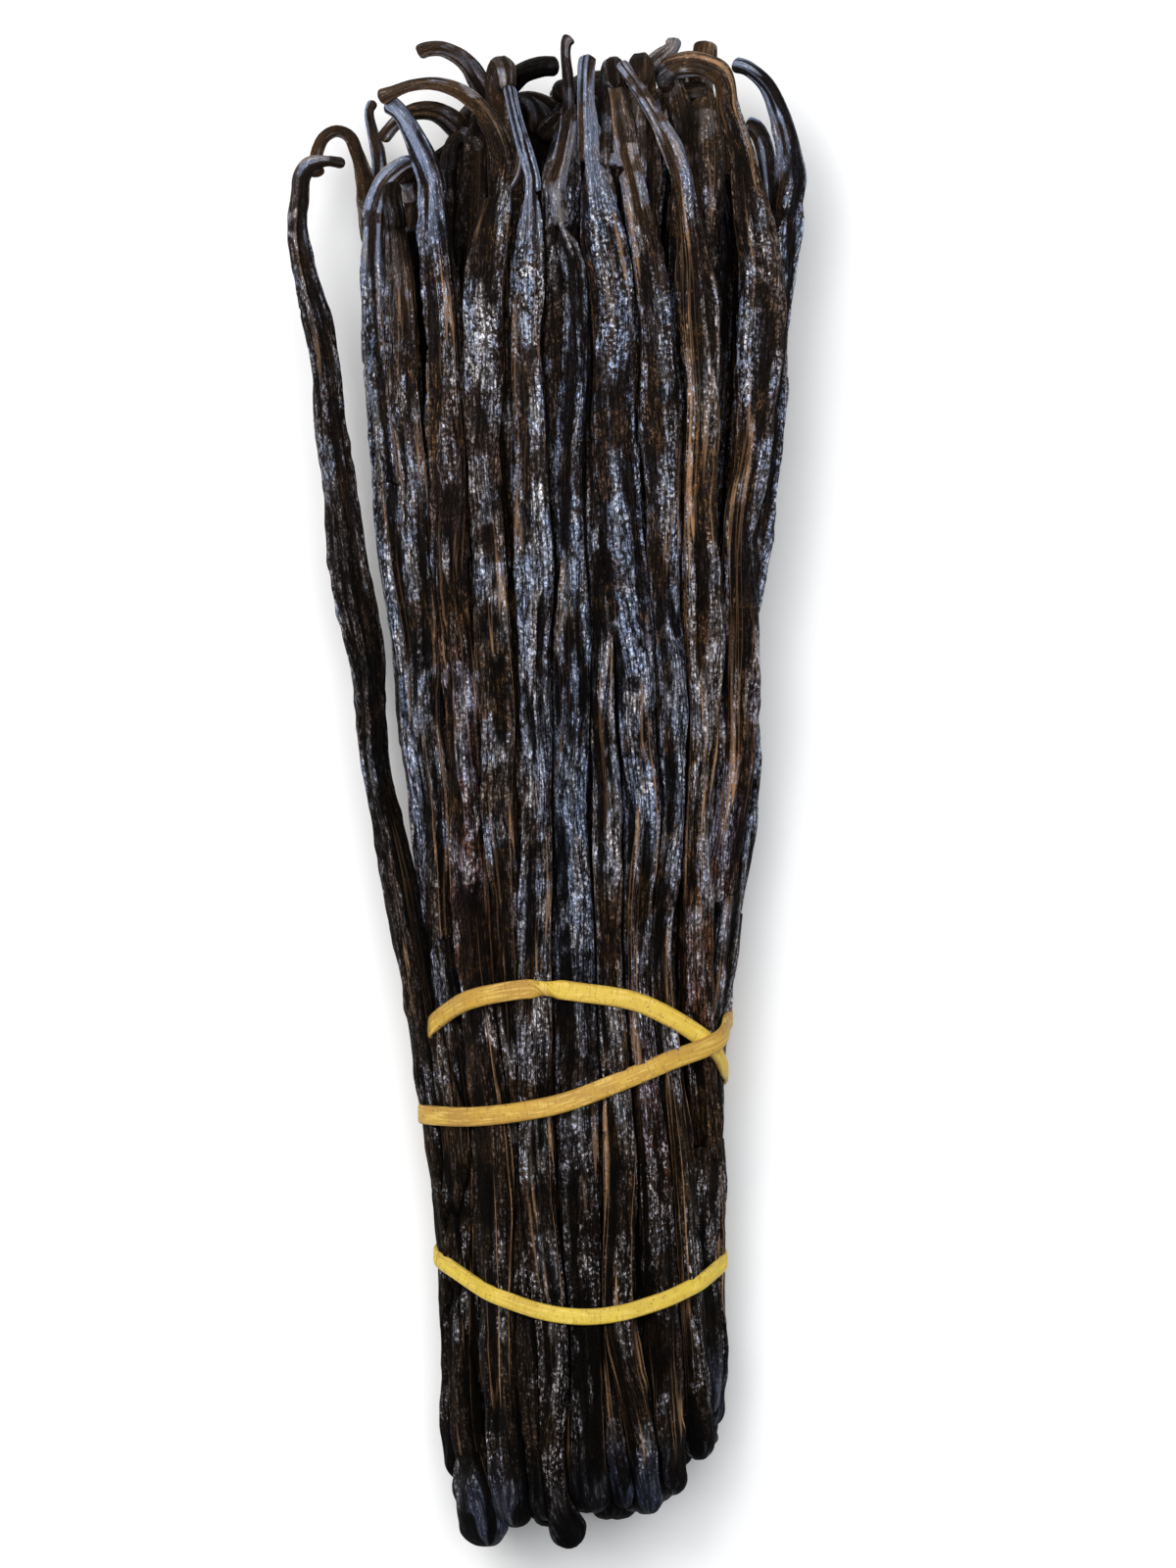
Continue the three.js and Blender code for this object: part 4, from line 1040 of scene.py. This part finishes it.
def tight(round_way, y, clear, held):
    """Middle and outward direction of a tight band, round the bundle at height y."""
    way = np.stack([-np.cos(round_way * RAD), np.sin(round_way * RAD)], axis=-1)
    turn = np.arange(-FEELER_REACH, FEELER_REACH + 1, FEELER_STEP) * RAD
    cos, sin = np.cos(turn), np.sin(turn)
    across, up = way[:, None, 0], way[:, None, 1]
    feel = np.stack([across * cos - up * sin, across * sin + up * cos], axis=-1)
    rows = [[np.interp(y, GRID, grid[p][:, k]) for k in range(grid.shape[-1])] for p in OUTER]
    section = np.moveaxis(np.stack(rows), 1, 2)
    centre = np.stack([middle_x(y), (top_of(y) + bottom_of(y)) / 2], axis=-1)
    reach = np.einsum("pkc,kfc->pkf", section[..., PLACE] - centre[None], feel)
    reach = reach + support(section[:, :, None], feel[None])
    reach[OUTER.index(STRAY), ~held] = -FREE
    crossing = (reach.max(axis=0) + clear[:, None]) / cos
    best = crossing.argmin(axis=1)
    k = np.arange(len(y))
    point = way * crossing[k, best][:, None] + centre
    return np.stack([point[:, 0], y, point[:, 1]], axis=-1), feel[k, best]


def softened(row):
    """Evens out a closed row of values, as stiff rubber does."""
    shares = bump(np.arange(-SOFTENED, SOFTENED + 1), SOFTENED / SOFTNESS)
    shares = shares / shares.sum()
    return sum(np.roll(row, k - SOFTENED, axis=0) * share for k, share in enumerate(shares))


way_round = np.array([0, 90, 180, 270])
middle, _ = tight(way_round, lower_height(way_round), np.zeros(4), np.ones(4, bool))
print("the lower band's corners:", middle.round(1).tolist())

# %% [markdown]
# ## The rubber bands
# A band is a flat strip with rounded edges. A ring made with the spin operator already
# has the right faces, closed both ways, so its points are simply laid along the route.
# The upper band goes round twice and crosses itself, so it is lifted there by its own
# thickness, and it turns over in two places, where rubber narrows and stands on edge.

# %% Laid bands
CORNERS = 18
RING_RADIUS, PROFILE_RADIUS = 2, 0.5
FLAT_POWER, THICK_POWER = 0.45, 0.7
TWIST_THICKER, TWIST_NARROWER = 1.2, 0.35
WAY_SCALE = 0.33  # about millimetres for each degree round the bundle


def spun_ring(steps):
    """The steps, corners and faces of a round profile spun once about the z axis."""
    bm = bmesh.new()
    centre, axis = (0, 0, 0), (0, 0, 1)
    profile = bmesh.ops.create_circle(bm, segments=CORNERS, radius=PROFILE_RADIUS)["verts"]
    upright = Vector((0, 1, 0)).rotation_difference(axis).to_matrix()
    bmesh.ops.rotate(bm, verts=profile, cent=centre, matrix=upright)
    bmesh.ops.translate(bm, verts=profile, vec=(RING_RADIUS, 0, 0))
    bmesh.ops.spin(bm, geom=bm.verts[:] + bm.edges[:], cent=centre, axis=axis,
                   angle=2 * math.pi, steps=steps, use_merge=True)
    bm.verts.index_update()
    x, y, z = np.array([v.co for v in bm.verts]).T
    faces = faces_of(bm)
    bm.free()
    step = np.rint(np.arctan2(y, x) / (2 * math.pi) * steps).astype(int) % steps
    turns = np.arctan2(z, np.hypot(x, y) - RING_RADIUS) / (2 * math.pi)
    return step, np.rint(turns * CORNERS).astype(int) % CORNERS, faces


def flattened(wave, power, size):
    return np.sign(wave) * np.abs(wave) ** power * size / 2


def laid_band(name, turns, width, steps, height_at, held_at, lift_at, twist_at):
    round_way = np.arange(steps) / steps * 360 * turns
    y = height_at(round_way)
    clear = BAND_THICKNESS / 2 - BEARING + lift_at(round_way)
    middle, out = (softened(row) for row in tight(round_way, y, clear, held_at(round_way)))
    outward = np.stack([out[:, 0], 0 * y, out[:, 1]], axis=-1)
    along = unit(np.roll(middle, -1, axis=0) - np.roll(middle, 1, axis=0))
    outward = unit(outward - (outward * along).sum(axis=1, keepdims=True) * along)
    across = np.cross(along, outward)

    a = np.arange(CORNERS) / CORNERS * 2 * math.pi
    twist = twist_at(round_way)[:, None]
    cos, sin, on_edge = np.cos(twist), np.sin(twist), np.abs(np.sin(twist))
    thick = flattened(np.cos(a), THICK_POWER, BAND_THICKNESS) * (1 + TWIST_THICKER * on_edge)
    flat = flattened(np.sin(a), FLAT_POWER, width) * (1 - TWIST_NARROWER * on_edge)
    u, v = thick * cos - flat * sin, thick * sin + flat * cos
    ring = middle[:, None] + u[..., None] * outward[:, None] + v[..., None] * across[:, None]

    step, corner, faces = spun_ring(steps)
    points = ring[step, corner]
    belt = [round_way[step] * WAY_SCALE, flat[step, corner], np.cos(a)[corner]]
    length = np.linalg.norm(np.diff(middle, axis=0), axis=1).sum()
    print(name, len(points), "points, length", round(float(length)), "mm")
    marks = {"belt": np.stack(belt, axis=-1)}
    return object_from(name, points, facing_out(points, faces), marks)


step, corner, faces = spun_ring(12)
print("a ring of 12 steps has", len(step), "points and", len(faces), "faces")

# %% [markdown]
# ## Two bands
# Both come from the same function. Only their routes differ, and what happens to the
# upper one at its crossing and its two half twists. A closed strip always has an even
# number of half twists, so the second one is put behind, out of sight.

# %% Bands
CROSSING, CROSSING_REACH, TWIST_REACH = 519, 8, 9
HALF_TWISTS = (70, 216)
BAND_WIDTH, LOW_BAND_WIDTH = 2.6, 2.2
CROSSING_GAP, EDGE_LIFT, EDGE_SPAN = 0.05, 0.35, 1.6
HOLDS_STRAY = (180, 540)
STEPS_EACH_TURN = 360


def upper_lift(round_way):
    crossing = smooth(2 - np.abs(round_way - CROSSING) / CROSSING_REACH)
    near = [smooth(EDGE_SPAN - np.abs(round_way - at) / TWIST_REACH) for at in HALF_TWISTS]
    return (BAND_THICKNESS + CROSSING_GAP) * crossing + EDGE_LIFT * np.maximum(*near)


def upper_twist(round_way):
    return sum(math.pi * smooth(0.5 + (round_way - at) / (2 * TWIST_REACH)) for at in HALF_TWISTS)


def holds_stray(round_way):
    return (round_way >= HOLDS_STRAY[0]) & (round_way <= HOLDS_STRAY[1])


def nowhere(round_way):
    return 0 * round_way


def everywhere(round_way):
    return round_way >= 0


band_upper = laid_band("rubber_upper", 2, BAND_WIDTH, 2 * STEPS_EACH_TURN, upper_height,
                       holds_stray, upper_lift, upper_twist)
band_lower = laid_band("rubber_lower", 1, LOW_BAND_WIDTH, STEPS_EACH_TURN, lower_height,
                       everywhere, nowhere, nowhere)

# %% [markdown]
# ## Writing materials as sums
# Node trees get hard to read when every sum is a node placed by hand. One small class
# wraps a socket, so that Python's own signs add the Math nodes, and one method makes any
# other node.

# %% Material tools
FIRST_COLOUR, SECOND_COLOUR, MIXED_COLOUR = 6, 7, 2  # sockets of a Mix node set to colour


class Wire:
    """A socket that can stand in a sum."""

    def __init__(self, finish, socket):
        self.finish, self.socket = finish, socket

    def _sum(self, operation, first, second):
        return self.finish.node("ShaderNodeMath", {"operation": operation}, {0: first, 1: second})

    def __add__(self, other):
        return self._sum("ADD", self, other)

    def __sub__(self, other):
        return self._sum("SUBTRACT", self, other)

    def __rsub__(self, other):
        return self._sum("SUBTRACT", other, self)

    def __mul__(self, other):
        return self._sum("MULTIPLY", self, other)

    def __abs__(self):
        return self.finish.node("ShaderNodeMath", {"operation": "ABSOLUTE"}, {0: self})

    __radd__, __rmul__ = __add__, __mul__


class Finish:
    """A material with a principled shader, filled by expressions."""

    def __init__(self, name, **plain):
        self.material = bpy.data.materials.new(name)
        self.material.use_nodes = True
        self.nodes = self.material.node_tree.nodes
        self.shader = self.nodes["Principled BSDF"]
        self.finish(**plain)

    def node(self, kind, settings=None, sockets=None, out=0):
        made = self.nodes.new(kind)
        for name, value in (settings or {}).items():
            setattr(made, name, value)
        for key, value in (sockets or {}).items():
            self.fill(made.inputs[key], value)
        return Wire(self, made.outputs[out])

    def fill(self, target, value):
        if isinstance(value, Wire):
            self.material.node_tree.links.new(value.socket, target)
        else:
            target.default_value = value

    def field(self, name):
        return self.node("ShaderNodeAttribute", {"attribute_name": name}, out="Vector")

    def place(self):
        return self.node("ShaderNodeTexCoord", out="Object")

    def parts(self, vector):
        made = self.nodes.new("ShaderNodeSeparateXYZ")
        self.fill(made.inputs[0], vector)
        return [Wire(self, o) for o in made.outputs]

    def noise(self, vector, amounts, detail=2.0, rough=0.5, shift=(0, 0, 0)):
        moved = self.node("ShaderNodeVectorMath", {"operation": "MULTIPLY_ADD"},
                          {0: vector, 1: amounts, 2: shift})
        return self.node("ShaderNodeTexNoise", {}, {"Vector": moved, "Scale": 1.0,
                                                    "Detail": detail, "Roughness": rough})

    def step(self, value, low, high):
        """0 below low and 1 above high, with a soft passage."""
        return self.node("ShaderNodeMapRange", {"interpolation_type": "SMOOTHSTEP"},
                         {"Value": value, "From Min": low, "From Max": high})

    def mix(self, share, first, second):
        sockets = {0: share, FIRST_COLOUR: first, SECOND_COLOUR: second}
        return self.node("ShaderNodeMix", {"data_type": "RGBA"}, sockets, out=MIXED_COLOUR)

    def bump(self, height, distance):
        sockets = {"Height": height, "Distance": distance, "Strength": 1.0}
        return self.node("ShaderNodeBump", {}, sockets)

    def finish(self, **sockets):
        for name, value in sockets.items():
            self.fill(self.shader.inputs[name.replace("_", " ")], value)
        return self.material


def shade(red, green, blue):
    """A colour given as 0 to 255, as the linear values that shaders use."""
    parts = (c / 255 for c in (red, green, blue))
    return (*(((c + 0.055) / 1.055) ** 2.4 if c > 0.04045 else c / 12.92 for c in parts), 1.0)


def shades(**colours):
    return SimpleNamespace(**{name: shade(*levels) for name, levels in colours.items()})


print("a middle grey:", [round(c, 3) for c in shade(128, 128, 128)])

# %% [markdown]
# ## Patterns on the skin
# Cured skin shows as broken threads of light on near black. Noises of many sizes make
# them. All but one read the pod's own straightened place, so that they run along the pod
# and round its hook. The last reads the place in the bundle, because the oily patches,
# with a heavier coat and painted glints, spread across several pods. Image textures would
# give real skin, but would stretch at the hooks and repeat on fifty pods.

# %% Skin patterns
# How often each repeats, round and along the pod, then detail, roughness and a shift.
PATTERNS = dict(
    strand=((1.9, 1.9, 0.14), 4.0, 0.64, (7, 3, 1)),
    fine=((2.6, 2.6, 1.1), 2.0, 0.6, (1, 9, 4)),
    pore=((3.0, 3.0, 2.1), 2.0, 0.6, (6, 2, 9)),
    lump=((1.0, 1.0, 0.65), 3.0, 0.64, (3, 8, 2)),
    fibre=((0.62, 0.62, 0.018), 2.0, 0.45),
    region=((0.3, 0.3, 0.03), 2.0, 0.5, (2, 2, 8)),
    cloud=((0.3, 0.3, 0.15), 4.0, 0.62, (5, 1, 3)),
    blotch=((0.09, 0.09, 0.19), 2.0, 0.55, (1, 6, 2)),
    tone=((0.4, 0.4, 0.12), 3.0, 0.55, (4, 7, 2)),
    rust=((0.13, 0.13, 0.13), 3.0, 0.6, (8, 5, 6)),
)
ACROSS_PODS = ((115, 80, 115), 2.0, 0.5, (4, 2, 7))
OWN_SHARE, ACROSS_SHARE, LEVEL = 0.75, 0.6, 0.175  # the level keeps their sum round a half

skin = Finish("cured_skin", Specular_IOR_Level=0.05, Coat_Roughness=0.22, Coat_IOR=1.6,
              Coat_Tint=(0.88, 0.94, 1.0, 1.0), Roughness=0.75)
grain = skin.field("grain")
# clean, the third of the ends, is painted light: least at the feet, most at the hooks.
from_foot, from_tip, clean = skin.parts(skin.field("ends"))
blue, red, brown = skin.parts(skin.field("tint"))
crest, shine, oily = skin.parts(skin.field("relief"))
on = SimpleNamespace(**{name: skin.noise(grain, *how) for name, how in PATTERNS.items()})
cloud = on.cloud * OWN_SHARE + skin.noise(skin.place(), *ACROSS_PODS) * ACROSS_SHARE - LEVEL
print("patterns on the skin:", ", ".join(PATTERNS))

# %% [markdown]
# ## Threads, patches and ends
# A mask is a pattern cut between two levels, and masks multiply. Fine creases part the
# threads, pores and lumps break them up, and only crests carry them. Near the foot, where
# the painted light is least, the threads stay whole and dull. Building each mask by itself
# makes it easy to look at one alone, by feeding it to the colour for a moment.

# %% Skin masks
def at_least(mask, low):
    """A mask that goes from a low level, not from 0, up to 1."""
    return mask * (1 - low) + low


def filled(mask, share):
    """A mask with its gaps filled by a share."""
    return mask + (1 - mask) * share


AT_STEM, AT_FOOT = (8.0, 24.0), (3.0, 11.0)  # from all to nothing, in mm from an end

creases = skin.step(abs(on.strand - 0.5), 0.01, 0.078)
creases = creases * at_least(skin.step(abs(on.fine - 0.5), 0.0, 0.05), 0.3)
# Where the painted light is least, near the feet, the threads break up less.
less_lit = 1.4 - clean
unbroken = filled(skin.step(on.pore, 0.41, 0.53), less_lit * 0.32 + 0.08)
smooth_lump = filled(skin.step(on.lump, 0.41, 0.56), less_lit * 0.3 + 0.05)
stem = 1 - skin.step(from_tip, *AT_STEM)
foot = 1 - skin.step(from_foot, *AT_FOOT)
thread = creases * unbroken * smooth_lump
thread = thread + stem * 0.15 * (0.5 - thread)
sparkle = skin.step(on.pore, 0.55, 0.63) * creases
fibre = 1 - skin.step(abs(on.fibre - 0.5), 0.006, 0.03)
# Crests carry the threads and glints, and the creases stay dark, partly the skin's own near black
# and partly painted shade.
raised = skin.step(crest, 0.2, 0.62)
rusty = skin.step(on.rust, 0.5, 0.57)
# Oily patches: a heavier coat, with painted glints and lighter threads.
patch = skin.step(cloud + stem * (on.blotch - cloud) + oily + blue * 0.12, 0.52, 0.57)
print("nodes up to the masks:", len(skin.nodes))

# %% [markdown]
# ## The skin's colour, with painted light
# Pits stay near black, partly as painted shade. What stands up is brown or grey, bluish
# on some pods, red in a few places and rusty in others, and towards the hooks the dark
# parts are lifted to a lighter brown as painted light. Each colour is mixed over the last,
# as a painter lays glazes, since a colour ramp could follow only one mask.

# %% Skin colours
paint = shades(
    pit=(4, 3, 2), worn=(58, 46, 40), grey=(204, 186, 178), slate=(122, 146, 190),
    straw=(198, 152, 106), red=(176, 66, 56), stalk=(150, 118, 88), rust=(132, 96, 60),
    warm_glint=(242, 224, 218), cool_glint=(184, 202, 240), sparkle=(232, 230, 238),
    fibre=(212, 164, 122), cut=(6, 5, 6), cut_glint=(112, 124, 160),
)
uneven = at_least(skin.step(on.tone, 0.32, 0.66), 0.25)
light = thread * at_least(raised, 0.1) * uneven * at_least(patch, 0.65) * clean * shine
earth = (brown * 0.8 * clean + (1 - clean) + (1 - patch) * 0.5) * (1 - blue * 0.8)
brownish = skin.mix(earth, skin.mix(blue * 0.8, paint.grey, paint.slate), paint.straw)
# worn is painted light: towards the hooks the dark parts are lifted to a lighter brown.
worn = skin.step(clean, 1.0, 1.5) * at_least(creases, 0.2) * at_least(raised, 0.4)
worn = worn * at_least(skin.step(on.pore, 0.38, 0.58), 0.4) * shine
on_stem = stem * brown * (thread * 0.7 + 0.05) * shine
rusted = rusty * (brown * 0.5 + 0.2) * (thread * 0.9 + 0.1 * stem) * clean * shine
colour = skin.mix(light, skin.mix(worn, paint.pit, paint.worn), brownish)
for share, over in ((red * light * 0.9, paint.red), (on_stem, paint.stalk), (rusted, paint.rust)):
    colour = skin.mix(share, colour, over)
print("nodes up to the colours:", len(skin.nodes))

# %% [markdown]
# ## Oil, fibres and cut ends
# Oil gives broken glints, warm or slightly blue, in patches, with a few bright points.
# Dry fibres show as thin tan lines, and the cut feet are dark. The glints of soft light
# from all round hardly move with the view, so they are part of the colour here, which
# keeps them sharp, and they hold in every export.

# %% Skin glints
sheen_share = skin.step(on.tone + blue * 0.14, 0.48, 0.62)
sheen = skin.mix(sheen_share, paint.warm_glint, paint.cool_glint)
glint = patch * (thread * (1 - stem * 0.18) + stem * 0.18) * raised * (1 - foot * 0.7)
glint = glint * at_least(clean, 0.3) * shine
glint = glint * filled(skin.step(on.pore, 0.48, 0.57), skin.step(clean, 0.3, 1.05))
glint = glint * (0.75 + blue * 0.25) * (1 - rusty * brown * 0.6)
bright = sparkle * raised * (patch * 0.75 + 0.12) * (1 - foot * 0.6)
bright = bright * (clean * 0.5 + 0.45) * shine * 1.05
tan = fibre * skin.step(on.region + brown * 0.12, 0.52, 0.6) * at_least(raised, 0.3)
tan = tan * (1 - foot) * at_least(thread, 0.6) * shine * (0.45 + brown * 0.4 + (1 - clean) * 0.25)
cut_sheen = foot * patch * at_least(thread, 0.1) * raised * 0.5 * blue
for share, over in (
    (glint, sheen), (bright, paint.sparkle), (tan, paint.fibre),
    (foot * 0.85, paint.cut), (cut_sheen, paint.cut_glint),
):
    colour = skin.mix(share, colour, over)
print("nodes up to the glints:", len(skin.nodes))

# %% [markdown]
# ## Relief and wet shine
# The finest threads are too small for the mesh. A bump stands in for them, and a clear
# coat with a faint blue tint adds the wet shine that does move with the view. The coat
# is heavy only on the crests inside the oily patches, since dry skin has none.

# %% Skin relief and gloss
FIBRE_HEIGHT = 0.5 * MM

relief = skin.bump(thread * 0.8 + fibre * 0.5, FIBRE_HEIGHT)
gloss = at_least(thread, 0.15) * raised * (patch * 0.85 + 0.1) * (clean * 0.6 + 0.3) * shine
skin_material = skin.finish(Base_Color=colour, Normal=relief, Coat_Weight=gloss)
print("nodes of the whole skin:", len(skin.nodes))

# %% [markdown]
# ## The dark inside
# The core only has to swallow light, so it gets a plain near black with faint spots, as painted
# shade in the gaps between the pods.

# %% Core finish
core_finish = Finish("dark_inside", Roughness=0.9)
spot = core_finish.noise(core_finish.place(), (300, 300, 60))
spotted = core_finish.mix(spot, shade(4, 3, 3), shade(14, 10, 8))
core_material = core_finish.finish(Base_Color=spotted)
print("nodes of the core:", len(core_finish.nodes))

# %% [markdown]
# ## The rubber's finish
# Old rubber bands are a dull ochre yellow, brighter where they have been rubbed, with
# dark specks of dust and fine cross cracks, and darker along both edges. The face that
# lies inwards has kept another colour, which shows where a band has turned over. Both
# bands share one function, with their own colours.

# %% Rubber
AGED = shades(edge=(140, 104, 42), streak=(236, 206, 112), crack=(140, 100, 38), dust=(84, 60, 28))
RUBBER_GRAIN = 0.2 * MM


def rubber(name, clean, worn, inside):
    band = Finish(name, Specular_IOR_Level=0.35)
    belt = band.field("belt")
    _, across, face = band.parts(belt)
    flat = band.node("ShaderNodeVectorMath", {"operation": "MULTIPLY"}, {0: belt, 1: (1, 1, 0)})
    wear = band.noise(flat, (0.09, 0.25, 1.0), 3.0, 0.55)
    crack = band.noise(flat, (2.6, 0.5, 1.0), 2.0, 0.6, (3, 1, 0))
    speck = band.noise(flat, (1.7, 2.2, 1.0), 1.0, 0.5, (9, 4, 0))
    streak = band.noise(flat, (0.25, 3.2, 1.0), 2.0, 0.6, (5, 2, 0))
    colour = band.mix(band.step(wear, 0.35, 0.68), clean, worn)
    for share, over in (
        ((1 - band.step(face, -0.3, 0.3)) * 0.6, inside),
        (band.step(abs(across), 0.8, 1.25) * 0.5, AGED.edge),
        (band.step(streak, 0.5, 0.66) * 0.45, AGED.streak),
        ((1 - band.step(crack, 0.32, 0.44)) * 0.5, AGED.crack),
        ((1 - band.step(speck, 0.26, 0.34)) * 0.7, AGED.dust),
    ):
        colour = band.mix(share, colour, over)
    relief = band.bump(crack * 0.6 + wear * 0.4, RUBBER_GRAIN)
    print(name, len(band.nodes), "nodes")
    return band.finish(Base_Color=colour, Roughness=0.5 + wear * 0.2, Normal=relief)


upper_rubber = shades(clean=(192, 152, 56), worn=(172, 130, 58), inside=(218, 190, 68))
lower_rubber = shades(clean=(208, 182, 64), worn=(190, 160, 58), inside=(208, 182, 64))
upper_material = rubber("upper_rubber_finish", **vars(upper_rubber))
lower_material = rubber("lower_rubber_finish", **vars(lower_rubber))

# %% [markdown]
# ## Putting the pieces in place
# Each piece gets its finish, hides the solid it stands in for, and rides on the one body
# that the bundle has. Nothing here moves by itself, so there is no rig to build.

# %% Assembly
POD_PIECES = (front_left, front_right, outer, inner_left, inner_right, core_body)
for piece in POD_PIECES:
    piece.data.materials.append(core_material if piece is core_body else skin_material)
    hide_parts("pods")
for piece, material, node, slot in (
    (band_upper, upper_material, "band_upper", "upper_rubber"),
    (band_lower, lower_material, "band_lower", "lower_rubber"),
):
    piece.data.materials.append(material)
    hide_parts(node)
for piece in (*POD_PIECES, band_upper, band_lower):
    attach(piece, "root")
meshes = [piece.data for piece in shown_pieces() if piece.type == "MESH"]
print("triangles in all:", sum(len(p.vertices) - 2 for mesh in meshes for p in mesh.polygons))

# %% [markdown]
# ## Floor and light
# The bundle lies on a plain pale table. A large cool light, a smaller warm one and an
# even sky give the soft glints on the oily skin without any hard shadow.

# %% Floor and light
TABLE_SIZE, TABLE_WHITE = 3, (252, 252, 252)
SKY_STRENGTH = 0.2


def floor():
    bm = bmesh.new()
    bmesh.ops.create_grid(bm, x_segments=1, y_segments=1, size=TABLE_SIZE)
    mesh = bpy.data.meshes.new("table_top")
    bm.to_mesh(mesh)
    bm.free()
    top = bpy.data.objects.new("table_top", mesh)
    bpy.context.scene.collection.objects.link(top)
    plain = Finish("table_finish", Roughness=0.9, Specular_IOR_Level=0.0)
    mesh.materials.append(plain.finish(Base_Color=shade(*TABLE_WHITE)))
    top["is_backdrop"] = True


def lamp(name, place, size, power, colour):
    """A square area light that looks at the middle of the table."""
    light = bpy.data.lights.new(name, "AREA")
    light.shape, light.size, light.energy, light.color = "SQUARE", size, power, colour
    made = bpy.data.objects.new(name, light)
    made.location = place
    made.rotation_euler = (-Vector(place)).to_track_quat("-Z", "Y").to_euler()
    bpy.context.scene.collection.objects.link(made)


floor()
lamp("overhead_light", place=(0.1, 0.35, 2.7), size=2.0, power=64, colour=(0.96, 0.98, 1.0))
lamp("key_light", place=(-0.6, 0.6, 1.5), size=0.8, power=14, colour=(1.0, 0.98, 0.96))
sky = bpy.data.worlds.new("sky")
sky.use_nodes = True
sky.node_tree.nodes["Background"].inputs["Color"].default_value = (1.0, 1.0, 1.0, 1.0)
sky.node_tree.nodes["Background"].inputs["Strength"].default_value = SKY_STRENGTH
bpy.context.scene.world = sky
bpy.context.scene.view_settings.view_transform = "Standard"
print("lights:", [light.name for light in bpy.data.lights])

# %% [markdown]
# ## Camera
# The bundle is seen from straight above, through a lens so long that near and far parts
# keep their true sizes. An orthographic camera would do the same, but a long lens still
# lets the eye feel which hooks rise.

# %% Camera
VIEW_MIDDLE = (5.8 * MM, 0.75 * MM)
VIEW_HEIGHT, CAMERA_HEIGHT, AIM_HEIGHT = 208 * MM, 2.5, 14 * MM
SENSOR, FARTHEST_SEEN = 36, 20

camera_data = bpy.data.cameras.new("camera")
camera_data.sensor_width = SENSOR
camera_data.lens = SENSOR * (CAMERA_HEIGHT - AIM_HEIGHT) / VIEW_HEIGHT
camera_data.clip_end = FARTHEST_SEEN
camera = bpy.data.objects.new("camera", camera_data)
camera.location = (*VIEW_MIDDLE, CAMERA_HEIGHT)
bpy.context.scene.collection.objects.link(camera)
bpy.context.scene.camera = camera
print("lens", round(camera_data.lens), "mm")

# %% [markdown]
# The dressed bundle must not be bigger than its solids.
